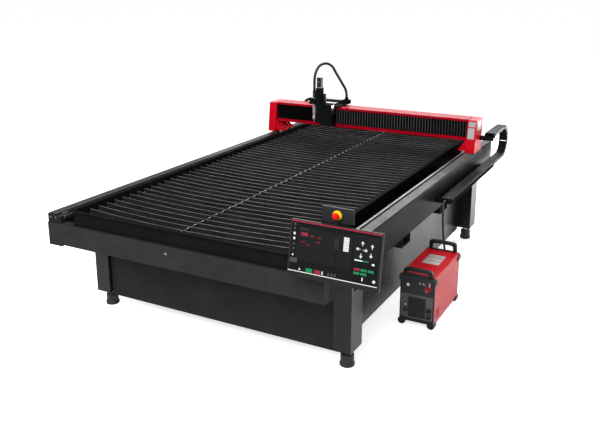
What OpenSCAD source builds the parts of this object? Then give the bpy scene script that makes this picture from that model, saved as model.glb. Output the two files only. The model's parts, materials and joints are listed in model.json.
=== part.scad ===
// Gantry cutting table with bowed slats, cable chains, pleated covers, a control screen and a power source.
// X runs across the table, Y from the front to the back, Z up from the floor. Sizes are millimetres.

/* [Frame] */
// Width over the two side beams
table_w = 2004; // [1900:1:2100]
// Length of the side beams
table_l = 3480; // [3440:1:3560]
// Width of a side beam
beam_w = 110; // [100:1:120]
// Height of a side beam
beam_h = 216; // [200:1:230]
// Height of the underside of the side beams
beam_bottom_z = 595; // [560:1:620]
// Wall of the side beams
beam_wall = 6; // [4:0.5:8]
// Width of the ledge that carries the linear rail
ledge_w = 33; // [30:1:36]
// Drop from the beam's top to the ledge
ledge_drop = 15; // [12:0.5:18]
// Chamfer along the outer top edge of a side beam
beam_chamfer = 9; // [3:0.5:12]
// Depth of the front and rear beams at their ends
end_beam_d = 64; // [50:1:80]
// Depth of the front and rear beams' flanges between the ends
end_flange_d = 22; // [16:1:23]
// Height of the front and rear beams
end_beam_h = 141; // [120:1:150]
// Gap from the side beams' underside up to the end beams
end_beam_lift = 12; // [8:1:20]
// Sheet of the end beams
end_beam_t = 4; // [3:0.5:6]

/* [Legs and feet] */
// Width of a leg across the table
leg_w = 117; // [100:1:125]
// Depth of a leg along the table
leg_d = 164; // [140:1:180]
// Wall of a leg
leg_wall = 6; // [4:0.5:8]
// Distance from the table's end to the leg
leg_end_gap = 387; // [340:1:420]
// Distance from the side beam's outer face to the leg
leg_side_gap = 11; // [4:1:16]
// Height of the levelling feet
foot_h = 118; // [100:1:135]
// Radius of a foot's rubber mount
foot_r = 47; // [40:1:52]
// Radius of a foot's stud
stud_r = 12; // [8:0.5:14]
// Depth of the cross tubes between the legs
leg_tube_d = 100; // [80:1:110]
// Depth of the outriggers under the beams
outrigger_d = 160; // [120:1:180]
// Height of the cross tubes and outriggers
cross_h = 80; // [60:1:90]
// Sheet of the skirts
skirt_t = 3; // [2:0.5:5]
// Height of the skirts' lower edge
skirt_bottom_z = 100; // [80:1:115]
// Distance from the legs' front to the end skirts
end_skirt_gap = 30; // [10:1:40]
// Distance from the legs' inner face to the side skirts' outer face
side_skirt_gap = 4; // [3:0.5:12]

/* [Bed] */
// Distance from the table's sides to the pan's walls
pan_side_gap = 212; // [207:1:222]
// Height of the pan's rim
pan_rim_z = 850; // [840:1:870]
// Distance from the table's end to the pan
pan_end_gap = 24; // [24:0.5:28]
// Sheet of the pan
pan_t = 4; // [3:0.5:6]
// Width of the pan's folded rim
rim_w = 25; // [15:1:30]
// Distance from slat to slat
slat_pitch = 76.2; // [70:0.1:77]
// Thickness of a slat
slat_t = 4.8; // [3:0.1:6]
// Height of a slat
slat_h = 100; // [80:1:110]
// Height of the slats' top edge
slat_top_z = 824; // [815:1:830]
// Forward bow of a slat at its middle
slat_bow = 55; // [30:1:56]
// Distance from the pan's front wall to the first slat's middle
slat_start = 80; // [70:1:85]
// Least distance from the last slat's middle to the pan's rear wall
slat_tail = 66; // [60:1:70]
// Gap between a slat's end and the pan's wall
slat_end_gap = 9; // [6:0.5:12]
// Sheet of the combs and the divider
comb_t = 6; // [4:0.5:8]
// Width of the notches that hold the slats
notch_w = 8; // [7.5:0.1:10]

/* [Drive] */
// Width and height of a linear rail
rail_s = 15; // [12:0.5:16]
// Module of the racks and pinions
gear_module = 3; // [2.5:0.1:3.4]
// Number of teeth on a pinion
pinion_teeth = 16; // [15:1:18]
// Width of the racks and pinions
rack_w = 14; // [10:0.5:16]
// Radius of the pinion shafts
shaft_r = 6; // [5:0.25:7]
// Length of a bearing block
block_l = 62; // [50:1:66]

/* [Gantry] */
// Distance from the table's rear to the towers' front
gantry_back = 610; // [590:1:640]
// Width of a tower
tower_w = 78; // [70:1:90]
// Depth of a tower
tower_d = 220; // [212:1:240]
// Height of a tower
tower_h = 280; // [275:1:300]
// Lean of a tower's front face
tower_lean = 36; // [20:1:50]
// Outward offset of the left tower
left_tower_shift = 30; // [0:1:40]
// Gap between the towers and the side beams' top
tower_gap = 4; // [2:0.5:8]
// Sheet of the towers and covers
cover_t = 3; // [2:0.25:4]
// Height of the gantry beam
gbeam_h = 155; // [150:1:160]
// Depth of the gantry beam
gbeam_d = 90; // [80:1:95]
// Wall of the gantry beam
gbeam_wall = 6; // [4:0.5:8]
// Height of the bellows
bellows_h = 132; // [120:1:133]
// Depth of a bellows pleat
pleat_d = 24; // [16:1:25]
// Length of a bellows pleat
pleat_l = 27; // [20:1:34]
// Thickness of the bellows cloth
bellows_t = 2; // [1.5:0.25:3]

/* [Carriage and torch] */
// Distance from the table's middle to the carriage's middle
carriage_x = -400; // [-440:1:-360]
// Width of the carriage plate
plate_w = 170; // [165:1:185]
// Height of the carriage plate
plate_h = 200; // [190:1:205]
// Thickness of the carriage plate
plate_t = 12; // [8:0.5:14]
// Width of the height column
column_w = 46; // [44:1:50]
// Depth of the height column
column_d = 68; // [64:1:74]
// Height of the height column
column_h = 318; // [300:1:330]
// Height of the height motor
z_motor_h = 95; // [70:1:100]
// Radius of the torch
torch_r = 16; // [13:0.5:17]
// Length of the torch with its tip
torch_l = 280; // [260:1:300]
// Height of the torch's point
torch_z = 960; // [955:1:970]
// Radius of the torch lead
lead_r = 12.5; // [10:0.5:15]

/* [Cable chains] */
// Link length of the table chain
chain_pitch = 46; // [44:0.5:46]
// Link height of the table chain
chain_h = 36; // [30:1:38]
// Link width of the table chain
chain_w = 72; // [60:1:76]
// Height of the table chain's tray floor
tray_z = 668; // [650:1:680]
// Distance from the table's rear to the front of the table chain's tray
tray_back = 1618; // [1600:1:1640]
// Length of the table chain's tray
tray_l = 1250; // [1100:1:1300]
// Link length of the gantry chain
mini_pitch = 30; // [29:0.25:30]
// Link height of the gantry chain
mini_h = 24; // [20:0.5:25]
// Link width of the gantry chain
mini_w = 50; // [40:1:54]

/* [Controls] */
// Width of the screen
screen_w = 515; // [480:1:540]
// Height of the screen
screen_h = 298; // [280:1:310]
// Depth of the screen housing
screen_d = 35; // [28:1:38]
// Backward tilt of the screen
screen_tilt = 10; // [4:0.5:10]
// Size of the screen's post
post_s = 50; // [40:1:56]
// Width of the stop panel
stop_w = 180; // [150:1:200]
// Depth of the stop panel's folded rim
stop_d = 16; // [12:1:24]
// Height of the stop panel
stop_h = 80; // [74:1:90]
// Radius of the stop button's collar
collar_r = 26; // [24:0.5:34]
// Radius of the stop button's head
stop_head_r = 19; // [17:0.5:23]
// Travel of the stop button
stop_travel = 5; // [3:0.5:6]

/* [Power source] */
// Width of the power source's case
ps_w = 240; // [220:1:250]
// Length of the power source
ps_l = 550; // [500:1:580]
// Height of the power source's case top
ps_h = 365; // [340:1:380]
// Distance from the power source's front to the table chain's tray
ps_ahead = 714; // [705:1:740]
// Distance from the table's middle to the power source's middle
ps_x = 1130; // [1120:1:1140]
// Thickness of the power source's end mouldings
ps_frame_d = 12; // [11:0.5:16]
// Radius of the power source's corner bumpers
bumper_r = 26; // [22:0.5:28]
// Length of the power source's corner bumpers
bumper_l = 48; // [40:1:56]
// Height of the power source's front handle above its case
front_handle_h = 45; // [40:1:52]
// Height of the power source's rear handle above its case
rear_handle_h = 70; // [60:1:76]
// Radius of the power source's knob
knob_r = 16; // [12:0.5:18]
// Radius of the power lead
power_lead_r = 8; // [7:0.5:12]

/* [Hidden] */
$fn = 48;

// Clearances shared by the pieces
slide_gap = 0.4;
run_gap = 0.05;
side_gap = 1;

// Frame
half_w = table_w / 2;
mid_l = table_l / 2;
pan_w = table_w - 2 * pan_side_gap;
gantry_y = table_l - gantry_back;
beam_in = half_w - beam_w;
beam_top = beam_bottom_z + beam_h;
beam_end_step = 8;
ledge_x = beam_in + ledge_w;
ledge_z = beam_top - ledge_drop;
end_beam_z = beam_bottom_z + end_beam_lift;
end_box_in = pan_w / 2 + rim_w - 15;

// Legs, cross members and skirts
leg_out = half_w - leg_side_gap;
leg_in = leg_out - leg_w;
leg_ys = [leg_end_gap, table_l - leg_end_gap - leg_d];
cross_z = beam_bottom_z - cross_h;
leg_base_t = 12;
outrigger_ahead = 455;
outrigger_behind = 380;
outrigger_ys = [mid_l - outrigger_ahead, mid_l + outrigger_behind];
end_skirt_y = leg_end_gap + end_skirt_gap;
side_skirt_x = leg_in + side_skirt_gap;

// Bed
pan_half = pan_w / 2;
pan_floor_z = beam_bottom_z + pan_t;
pan_in = pan_half - pan_t;
pan_y0 = pan_end_gap + pan_t;
pan_y1 = table_l - pan_y0;
slat_half = pan_in - slat_end_gap;
slat_bottom_z = slat_top_z - slat_h;
slat_radius = (slat_half * slat_half + slat_bow * slat_bow) / (2 * slat_bow);
slat_angle = asin(slat_half / slat_radius);
slat_count = floor((pan_y1 - pan_y0 - slat_start - slat_tail) / slat_pitch) + 1;
slat_ys = [for (i = [0 : slat_count - 1]) pan_y0 + slat_start + i * slat_pitch];
comb_x = slat_half - comb_t - 6;
comb_top_z = slat_top_z - 24;
divider_top_z = slat_top_z - 6;
comb_slat_dy = slat_radius - sqrt(slat_radius * slat_radius - (comb_x + comb_t / 2) * (comb_x + comb_t / 2));

// Gears: stub teeth with straight rack flanks and involute pinion flanks
pressure_angle = 20;
gear_pitch = PI * gear_module;
tooth_tip = 0.8 * gear_module;
tooth_root = gear_module;
backlash = 0.5;
pinion_r = gear_module * pinion_teeth / 2;
rack_h = 25;
rack_end_gap = 35;

// Side drive
rail_x = beam_in + rail_s / 2;
rail_top_z = ledge_z + rail_s;
pinion_z = beam_top + shaft_r + 5;
rack_line_z = pinion_z - pinion_r;
block_w = 34;
block_h = 24;
block_z = max(rail_top_z - 8, rack_line_z + tooth_tip + 1.5);
foot_pad_t = 8;
foot_in = rail_x - 41;

// Gantry
tower_z = beam_top + tower_gap;
tower_top = tower_z + tower_h;
tower_back = gantry_y + tower_d;
tower_in_r = ledge_x;
tower_in_l = ledge_x + left_tower_shift;
cover_y = gantry_y + tower_lean - 1;
cover_top = tower_top + 5;
cover_lip = 20;
cover_face_h = 184;
strip_z = cover_top - cover_face_h;
strip_h = 28;
gbeam_z = strip_z + 14;
gbeam_setback = 70;
gbeam_y = cover_y + gbeam_setback;
gbeam_top = gbeam_z + gbeam_h;
bellows_z = strip_z + strip_h + 2;
bellows_y = cover_y + 5;
foot_top_z = strip_z - 1;
pinion_y = gantry_y + tower_d / 2;
block_inset = 15;
block_ys = [gantry_y + block_inset, tower_back - block_inset - block_l];
gearbox_t = 25;
gearbox_half = 30;
motor_s = 57;
motor_z = pinion_z + motor_s + 2;

// Carriage
plate_x0 = carriage_x - plate_w / 2;
plate_x1 = carriage_x + plate_w / 2;
plate_y = cover_y - plate_t - 25;
plate_z = strip_z + 24;
plate_top = plate_z + plate_h;
spacer_x0 = plate_x0 + 15;
spacer_x1 = plate_x1 - 15;
mini_rail_y = gbeam_y - rail_s;
mini_block_base = 4;
mini_block_y = gbeam_y - mini_block_base - block_h;
mini_rail_zs = [gbeam_z + 20, gbeam_top - 17];
mini_block_xs = [spacer_x0 + 36, spacer_x1 - 36];
mini_block_l = 60;
cpin_x = carriage_x + 30;
cpin_z = mini_rail_zs[0] + 67;
crack_line_z = cpin_z - pinion_r;
housing_w = 112;
housing_x1 = plate_x1 - 1;
housing_x0 = housing_x1 - housing_w;
housing_d = 72;
housing_z = plate_z + 4;
housing_top = plate_top - 4;
arm_t = 6;
arm_z = cover_top + 5;

// Height column, screw and torch
column_x0 = plate_x0 + 7;
column_x1 = column_x0 + column_w;
column_y = plate_y - column_d;
column_z = plate_z + 20;
column_top = column_z + column_h;
column_wall = 5;
screw_r = 5;
screw_x = column_x0 + 20;
screw_y = plate_y - column_d / 2;
cap_t = 5;
holder_lift = 170;
holder_z = column_z + holder_lift;
holder_h = 50;
holder_w = 66;
holder_gap = 1.5;
torch_x = column_x0 - 33;
tip_l = 80;
torch_top = torch_z + torch_l;

// Table chain: odd number of links round the loop
loop_links = 9;
loop_step = 180 / loop_links;
chain_r = chain_pitch / (2 * sin(loop_step / 2));
upper_links = 9;
arm_clip_inset = 32;
tray_y = table_l - tray_back;
chain_low_z = tray_z + chain_h / 2;
chain_high_z = chain_low_z + 2 * chain_r;
chain_end_y = tower_back - arm_clip_inset;
loop_y = chain_end_y + upper_links * chain_pitch;
lower_links = floor((loop_y - tray_y) / chain_pitch + 0.001);
chain_start_y = loop_y - lower_links * chain_pitch;
chain_x = half_w + chain_w / 2 + 41;
tray_t = 4;
tray_lip = 12;
tray_plate_d = 8;
tray_out = chain_x + chain_w / 2 + 10;
arm_beam_h = 28;

// Gantry chain
mini_loop_links = 7;
mini_step = 180 / mini_loop_links;
mini_r = mini_pitch / (2 * sin(mini_step / 2));
mini_lower_links = 27;
mini_upper_links = 11;
mini_high_z = arm_z + arm_t + mini_h / 2;
mini_low_z = mini_high_z - 2 * mini_r;
mini_end_x = carriage_x + 40;
mini_loop_x = mini_end_x - mini_upper_links * mini_pitch;
mini_fixed_x = mini_loop_x + mini_lower_links * mini_pitch;
mini_y = gbeam_y + gbeam_d + mini_w / 2 + 20;
mini_tray_t = 4;

// Bridge over the chain's moving end, with the gland of the torch lead
bridge_x0 = mini_end_x + 20;
bridge_x1 = bridge_x0 + 64;
bridge_t = 4;
bridge_z = arm_z + arm_t + mini_h + 8;
gland_h = 22;

// Controls
screen_side = 87.5;
screen_x = half_w + screen_side;
screen_off = 63;
hinge_y = -12;
hinge_rise = 110;
hinge_z = beam_top + hinge_rise;
hinge_r = 5;
lug_w = 16;
lug_r = 12;
lug_span = 60;
glass_t = 3;
chin_h = 28;
bezel = 10;
post_y = 20;
post_z = beam_top - 61;
stop_y = 30;
stop_rise = 256;
stop_z = beam_top + stop_rise;
stop_side = 58;
stop_x = half_w + stop_side;
collar_t = 4;
stem_r = 8;
stop_stem_out = 22;
stop_stem_in = 22;
stop_head_d = 24;
stop_block = 42;
stop_block_d = 40;
stop_mid_z = stop_z + stop_h / 2;

// Power source
ps_bottom = 30;
ps_wall = 4;
ps_y = tray_y - ps_ahead;
ps_back = ps_y + ps_l;
ps_half = ps_w / 2;
ps_case_y0 = ps_y + ps_frame_d;
ps_case_y1 = ps_back - ps_frame_d;
handle_half = 100;
handle_bar = 18;
handle_d = 24;
bumper_out = 9;
bumper_front = 5;
top_bumper_r = bumper_r - 6;
top_bumper_z = ps_h - 36;
panel_half = ps_half - 8;
panel_z0 = 54;
panel_z1 = ps_h - 10;
panel_t = 8;
panel_y = ps_y + 1;
grille_half = 58;
grille_z0 = 68;
grille_z1 = 206;
grille_bars = 12;
knob_side = 70;
knob_x = ps_x + knob_side;
knob_z = 281;
knob_d = 18;
knob_shaft_r = 4;
lead_gland_r = power_lead_r + 6;
lead_gland_d = 24;
lead_gland_z = 190;

// Cord routes, chosen by hand and tied to the pieces at both ends
torch_lead_from = [torch_x, screw_y, torch_top];
torch_lead_to = [(bridge_x0 + bridge_x1) / 2, mini_y, bridge_z + gland_h];
torch_lead_rise = [
    [0, 0, 0], [0, 0, 60], [1, 0, 120], [7, 4, 165], [19, 12, 205], [36, 28, 238], [59, 50, 256], [84, 76, 260]
];
torch_lead_fall = [
    [-96, -173, 323], [-78, -146, 297], [-64, -116, 250], [-42, -76, 185], [-25, -46, 135], [-13, -24, 99],
    [-8, -14, 80], [-3.4, -6.1, 57], [-0.9, -1.5, 34], [0, 0, 10], [0, 0, 0]
];
torch_route = concat(
    [for (p = torch_lead_rise) torch_lead_from + p], [for (p = torch_lead_fall) torch_lead_to + p]);
power_lead_from = [chain_x, tray_y - tray_plate_d, chain_low_z];
power_lead_to = [ps_x, ps_back + lead_gland_d, lead_gland_z];
power_lead_drop = [
    [0, 0, 0], [0, -29, 0], [2, -54, -6], [6, -74, -23], [11, -86, -50], [15, -92, -86], [19, -94, -136]
];
power_lead_end = [
    [-29, 38, 310], [-27, 50, 250], [-24, 58, 200], [-19, 66, 150], [-12, 72, 100], [-7, 74, 64],
    [-4, 70, 42], [-2, 59, 23], [-1, 42, 8.6], [0, 26.6, 2.2], [0, 10, 0], [0, 0, 0]
];
power_route = concat(
    [for (p = power_lead_drop) power_lead_from + p], [for (p = power_lead_end) power_lead_to + p]);

// Place of the origin: middle of the footprint, on the floor
x_low = -(tower_in_l + tower_w);
x_high = screen_x + screen_w / 2;
y_low = hinge_y - screen_off * cos(screen_tilt) - screen_h / 2 * sin(screen_tilt);
y_high = loop_y + chain_r * cos(loop_step / 2) + chain_h / 2;
mid_x = (x_low + x_high) / 2;
mid_y = (y_low + y_high) / 2;

// Colours
black_paint = "#2b2829";
red_paint = "#c4122f";
dark_steel = "#3a393b";
bright_steel = "#b9babc";
black_plastic = "#1d1c1e";

// Helpers

module placed() translate([-mid_x, -mid_y, 0]) children();

module block(x, y, z) translate([x[0], y[0], z[0]]) cube([x[1] - x[0], y[1] - y[0], z[1] - z[0]]);

// Extrudes an outline drawn in X and Z along Y
module along_y(y0, length) translate([0, y0 + length, 0]) rotate([90, 0, 0]) linear_extrude(length) children();

// Extrudes an outline drawn in Y and Z along X
module along_x(x0, length) translate([x0, 0, 0]) rotate([90, 0, 90]) linear_extrude(length) children();

module both_sides() {
    children();
    mirror([1, 0, 0]) children();
}

module both_ends() {
    children();
    translate([0, table_l, 0]) mirror([0, 1, 0]) children();
}

module rod_x(x0, length, y, z, r) translate([x0, y, z]) rotate([0, 90, 0]) cylinder(h = length, r = r);

module rod_y(x, y0, length, z, r) translate([x, y0, z]) rotate([-90, 0, 0]) cylinder(h = length, r = r);

module tube_box(x, y, z, wall, axis) {
    cut = [axis == 0 ? -1 : wall, axis == 1 ? -1 : wall, axis == 2 ? -1 : wall];
    difference() {
        block(x, y, z);
        block([x[0] + cut[0], x[1] - cut[0]], [y[0] + cut[1], y[1] - cut[1]], [z[0] + cut[2], z[1] - cut[2]]);
    }
}

// Sweeps a round cord along a list of points
cord_sides = 10;
function unit(v) = v / norm(v);
function cord_dir(p, i) = unit(p[min(i + 1, len(p) - 1)] - p[max(i - 1, 0)]);
function across(d, up) = unit(cross(d, up));
function cord_ring(p, i, r, up) =
    let (d = cord_dir(p, i), a = across(d, up), b = cross(a, d))
    [for (k = [0 : cord_sides - 1]) p[i] + r * (a * cos(360 * k / cord_sides) + b * sin(360 * k / cord_sides))];
function flat_list(l) = [for (a = l, b = a) b];

module cord(p, r, up) {
    n = len(p);
    s = cord_sides;
    points = flat_list([for (i = [0 : n - 1]) cord_ring(p, i, r, up)]);
    walls = [for (i = [0 : n - 2], k = [0 : s - 1], half = [0, 1])
        let (a = i * s + k, b = i * s + (k + 1) % s)
        half == 0 ? [a, b, a + s] : [b, b + s, a + s]];
    first_cap = [[for (k = [0 : s - 1]) s - 1 - k]];
    last_cap = [[for (k = [0 : s - 1]) (n - 1) * s + k]];
    polyhedron(points, concat(first_cap, walls, last_cap));
}

// Toothed profiles
function rad(deg) = deg * PI / 180;
function deg(r) = r * 180 / PI;
function involute(a) = tan(a) - rad(a);
base_r = pinion_r * cos(pressure_angle);
tooth_half = gear_pitch / 4 - backlash / 4;
function flank_angle(r) =
    deg(tooth_half / pinion_r + involute(pressure_angle) - involute(acos(min(1, base_r / r))));
flank_radii = [pinion_r - tooth_root - 0.2, base_r, (base_r + pinion_r) / 2, pinion_r, pinion_r + tooth_tip];
function polar(r, a) = [r * cos(a), r * sin(a)];

module pinion_profile() {
    step = 360 / pinion_teeth;
    last = len(flank_radii) - 1;
    polygon([for (t = [0 : pinion_teeth - 1])
        each concat(
            [for (r = flank_radii) polar(r, (t + 0.5) * step - flank_angle(r))],
            [for (i = [last : -1 : 0]) polar(flank_radii[i], (t + 0.5) * step + flank_angle(flank_radii[i]))])]);
}

// A rack outline along its own X, with a tooth centred on zero and the pitch line at zero height
module rack_profile(before, after) {
    top = tooth_half - tooth_tip * tan(pressure_angle);
    low = tooth_half + tooth_root * tan(pressure_angle);
    first = -floor(before / gear_pitch);
    count = floor(after / gear_pitch);
    edge = gear_pitch / 2;
    base = tooth_tip - rack_h;
    polygon(concat(
        [[count * gear_pitch + edge, base], [first * gear_pitch - edge, base],
         [first * gear_pitch - edge, -tooth_root]],
        [for (i = [first : count], p = [[-low, -tooth_root], [-top, tooth_tip], [top, tooth_tip], [low, -tooth_root]])
            [i * gear_pitch + p[0], p[1]]],
        [[count * gear_pitch + edge, -tooth_root]]));
}

// One link: a tapered box round the cables, with ears that hold the next link. X runs along the chain,
// Y up and Z across.
ear_t = 2;
link_gap = 0.3;
module chain_link(pitch, height, width, step) {
    taper = height / 2 * tan(step / 2) + link_gap;
    wall = height / 8;
    outline = [[link_gap, 0], [taper, height / 2], [pitch - taper, height / 2], [pitch - link_gap, 0],
               [pitch - taper, -height / 2], [taper, -height / 2]];
    body_w = width - 2 * ear_t;
    difference() {
        translate([0, 0, -body_w / 2]) linear_extrude(body_w) polygon(outline);
        translate([-1, wall - height / 2, wall - body_w / 2])
            cube([pitch + 2, height - 2 * wall, body_w - 2 * wall]);
    }
    for (side = [-1, 1]) {
        translate([pitch / 2, 0, side * (body_w / 2 + ear_t / 2)])
            cube([pitch - 2 * height / 4, height / 2, ear_t], center = true);
        translate([pitch - height / 4, 0, side * (body_w / 2 + ear_t / 2 + link_gap / 2)])
            cylinder(h = ear_t - link_gap, r = height / 4, center = true);
    }
}

module link_row(pitch, height, width, step, count) {
    for (i = [0 : count - 1]) translate([i * pitch, 0, 0]) chain_link(pitch, height, width, step);
}

// Links round the loop, from the bottom of the loop upwards, with the loop's middle above the start
module link_arc(pitch, height, width, step, radius, first, last) {
    for (i = [first : last])
        translate([radius * sin(i * step), radius * (1 - cos(i * step)), 0])
            rotate([0, 0, (i + 0.5) * step]) chain_link(pitch, height, width, step);
}

// Frames in which a chain's X, Y and Z lie along the machine
module table_chain_at(y, z) translate([chain_x, y, z]) rotate([90, 0, 90]) children();
module beam_chain_at(x, z) translate([x, mini_y, z]) rotate([90, 0, 180]) children();

// Table frame

module side_beam_outline(inset) {
    t = inset;
    polygon([
        [beam_in + t, beam_bottom_z + t], [half_w - t, beam_bottom_z + t],
        [half_w - t, beam_top - beam_chamfer - t / 2], [half_w - beam_chamfer - t / 2, beam_top - t],
        [ledge_x + t, beam_top - t], [ledge_x + t, ledge_z - t], [beam_in + t, ledge_z - t]
    ]);
}

module side_beams() color(black_paint) both_sides() difference() {
    along_y(0, table_l) side_beam_outline(0);
    along_y(beam_end_step + beam_wall, table_l - 2 * (beam_end_step + beam_wall)) side_beam_outline(beam_wall);
    both_ends() block([beam_in - 1, half_w + 1], [-1, beam_end_step],
        [end_beam_z + end_beam_h - 1, beam_top + 1]);
    both_ends() block([beam_in - 1, half_w + 1], [-1, end_beam_d], [end_beam_z, end_beam_z + end_beam_h]);
}

// A shallow channel across the table, with a closed box at each end
module end_beam() {
    z0 = end_beam_z;
    z1 = end_beam_z + end_beam_h;
    t = end_beam_t;
    difference() {
        block([-half_w, half_w], [0, end_flange_d], [z0, z1]);
        block([-half_w + t, half_w - t], [t, end_flange_d + 1], [z0 + t, z1 - t]);
    }
    both_sides() difference() {
        block([end_box_in, half_w], [0, end_beam_d], [z0, z1]);
        block([end_box_in + t, half_w - t], [t, end_beam_d - t], [z0 + t, z1 - t]);
    }
}

module front_beam() color(black_paint) end_beam();

module rear_beam() color(black_paint) translate([0, table_l, 0]) mirror([0, 1, 0]) end_beam();

module side_rails() color(bright_steel) both_sides()
    block([beam_in, beam_in + rail_s], [rack_end_gap, table_l - rack_end_gap], [ledge_z, rail_top_z]);

module side_racks() color(dark_steel) both_sides()
    translate([beam_in - rack_w, pinion_y, rack_line_z]) along_x(0, rack_w)
        rack_profile(pinion_y - rack_end_gap, table_l - rack_end_gap - pinion_y);

module cross_members() color(black_paint) {
    both_ends() tube_box([-leg_in, leg_in], [end_skirt_y + skirt_t, end_skirt_y + skirt_t + leg_tube_d],
        [cross_z, beam_bottom_z], beam_wall, 0);
    for (y = outrigger_ys)
        tube_box([-leg_out, leg_out], [y - outrigger_d / 2, y + outrigger_d / 2], [cross_z, beam_bottom_z],
            beam_wall, 0);
}

module leg() {
    sight_r = 7;
    window_edge = 32;
    window_drop = 28;
    window_h = 55;
    difference() {
        block([leg_in, leg_out], [0, leg_d], [foot_h, beam_bottom_z]);
        block([leg_in + leg_wall, leg_out - leg_wall], [leg_wall, leg_d - leg_wall],
            [foot_h + leg_base_t, beam_bottom_z + 1]);
        translate([(leg_in + leg_out) / 2, leg_d / 2, foot_h - 1]) cylinder(h = leg_base_t + 2, r = stud_r);
        rod_y((leg_in + leg_out) / 2, -1, leg_wall + 2, cross_z + 22, sight_r);
        block([leg_out - leg_wall - 1, leg_out + 1], [window_edge, leg_d - window_edge],
            [beam_bottom_z - window_drop - window_h, beam_bottom_z - window_drop]);
    }
}

module at_legs() both_sides() for (y = leg_ys) translate([0, y, 0]) children();

module legs() color(black_paint) at_legs() leg();

module at_feet() at_legs() translate([(leg_in + leg_out) / 2, leg_d / 2, 0]) children();

// Rubber mount: a flared base under a drum
mount_h = 80;
module foot_pads() color(black_plastic) at_feet() rotate_extrude()
    polygon([[0, 0], [foot_r - 3, 0], [foot_r, 4], [foot_r, 20], [foot_r - 5, 28], [foot_r - 5, mount_h - 6],
             [foot_r - 11, mount_h], [0, mount_h]]);

module foot_studs() color(bright_steel) at_feet() {
    nut_h = 18;
    translate([0, 0, mount_h]) cylinder(h = foot_h + leg_base_t - mount_h, r = stud_r);
    translate([0, 0, foot_h - nut_h]) cylinder(h = nut_h, r = stud_r * 1.8, $fn = 6);
}

module end_skirts() color(black_paint) both_ends()
    block([-leg_in, leg_in], [end_skirt_y, end_skirt_y + skirt_t], [skirt_bottom_z, beam_bottom_z]);

module side_skirts() color(black_paint) both_sides() difference() {
    block([side_skirt_x - skirt_t, side_skirt_x], [leg_ys[0] + leg_d, leg_ys[1]],
        [skirt_bottom_z, beam_bottom_z]);
    for (y = outrigger_ys)
        block([side_skirt_x - skirt_t - 1, side_skirt_x + 1], [y - outrigger_d / 2, y + outrigger_d / 2],
            [cross_z, beam_bottom_z + 1]);
}

// Bed

module water_pan() color(black_paint) {
    y0 = pan_end_gap;
    y1 = table_l - pan_end_gap;
    rim_y = min(rim_w, pan_end_gap - 2);
    difference() {
        block([-pan_half, pan_half], [y0, y1], [beam_bottom_z, pan_rim_z]);
        block([-pan_in, pan_in], [pan_y0, pan_y1], [pan_floor_z, pan_rim_z + 1]);
    }
    difference() {
        block([-pan_half - rim_w, pan_half + rim_w], [y0 - rim_y, y1 + rim_y], [pan_rim_z - pan_t, pan_rim_z]);
        block([-pan_half + 1, pan_half - 1], [y0 + 1, y1 - 1], [pan_rim_z - pan_t - 1, pan_rim_z + 1]);
    }
}

module slat_supports() color(dark_steel) {
    both_sides() difference() {
        block([comb_x, comb_x + comb_t], [pan_y0, pan_y1], [pan_floor_z, comb_top_z]);
        for (y = slat_ys)
            block([comb_x - 1, comb_x + comb_t + 1],
                [y + comb_slat_dy - notch_w / 2, y + comb_slat_dy + notch_w / 2],
                [slat_bottom_z, comb_top_z + 1]);
    }
    difference() {
        block([-comb_t / 2, comb_t / 2], [pan_y0, pan_y1], [pan_floor_z, divider_top_z]);
        for (y = slat_ys)
            block([-comb_t, comb_t], [y - notch_w / 2, y + notch_w / 2], [slat_bottom_z, divider_top_z + 1]);
    }
}

// Each slat is sprung into a shallow arc that bulges to the front
module cutting_slats() color(dark_steel) for (y = slat_ys)
    translate([0, y + slat_radius, slat_bottom_z]) rotate([0, 0, -90 - slat_angle])
        rotate_extrude(angle = 2 * slat_angle)
            translate([slat_radius - slat_t / 2, 0]) square([slat_t, slat_h]);

// Table chain and its tray

module chain_tray() color(black_paint) {
    difference() {
        union() {
            block([half_w, tray_out], [tray_y - tray_plate_d, tray_y + tray_l], [tray_z - tray_t, tray_z]);
            block([tray_out - tray_t, tray_out], [tray_y - tray_plate_d, tray_y + tray_l],
                [tray_z - tray_t, tray_z + tray_lip]);
            block([half_w, half_w + tray_t], [tray_y - tray_plate_d, tray_y + tray_l],
                [tray_z - tray_t, tray_z + tray_lip]);
            block([half_w, tray_out], [tray_y - tray_plate_d, tray_y], [tray_z - tray_t, tray_z + chain_h]);
        }
        rod_y(chain_x, tray_y - tray_plate_d - 1, tray_plate_d + 2, chain_low_z, power_lead_r - 2);
    }
}

module table_chain_lower_run() color(black_plastic) table_chain_at(chain_start_y, chain_low_z)
    link_row(chain_pitch, chain_h, chain_w, loop_step, lower_links);

loop_split = (loop_links - 1) / 2;
module table_chain_loop_low() color(black_plastic) table_chain_at(loop_y, chain_low_z)
    link_arc(chain_pitch, chain_h, chain_w, loop_step, chain_r, 0, loop_split);

module table_chain_loop_high() color(black_plastic) table_chain_at(loop_y, chain_low_z)
    link_arc(chain_pitch, chain_h, chain_w, loop_step, chain_r, loop_split + 1, loop_links - 1);

module table_chain_upper_run() color(black_plastic) table_chain_at(loop_y, chain_high_z)
    rotate([0, 0, 180]) link_row(chain_pitch, chain_h, chain_w, loop_step, upper_links);

// Gantry

module tower_outline(t) {
    polygon([
        [gantry_y + t, tower_z - (t > 0 ? 1 : 0)], [gantry_y + t, tower_z + 30],
        [gantry_y + tower_lean + t, tower_top - t], [tower_back - t, tower_top - t],
        [tower_back - t, tower_z - (t > 0 ? 1 : 0)]
    ]);
}

module tower(inner) {
    slot_half = shaft_r + 3;
    difference() {
        along_x(inner, tower_w) tower_outline(0);
        along_x(inner + cover_t, tower_w - 2 * cover_t) tower_outline(cover_t);
        block([inner - 1, inner + cover_t + 1], [pinion_y - slot_half, pinion_y + slot_half],
            [tower_z - 1, pinion_z + slot_half]);
    }
}

module right_tower() color(red_paint) tower(tower_in_r);

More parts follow.
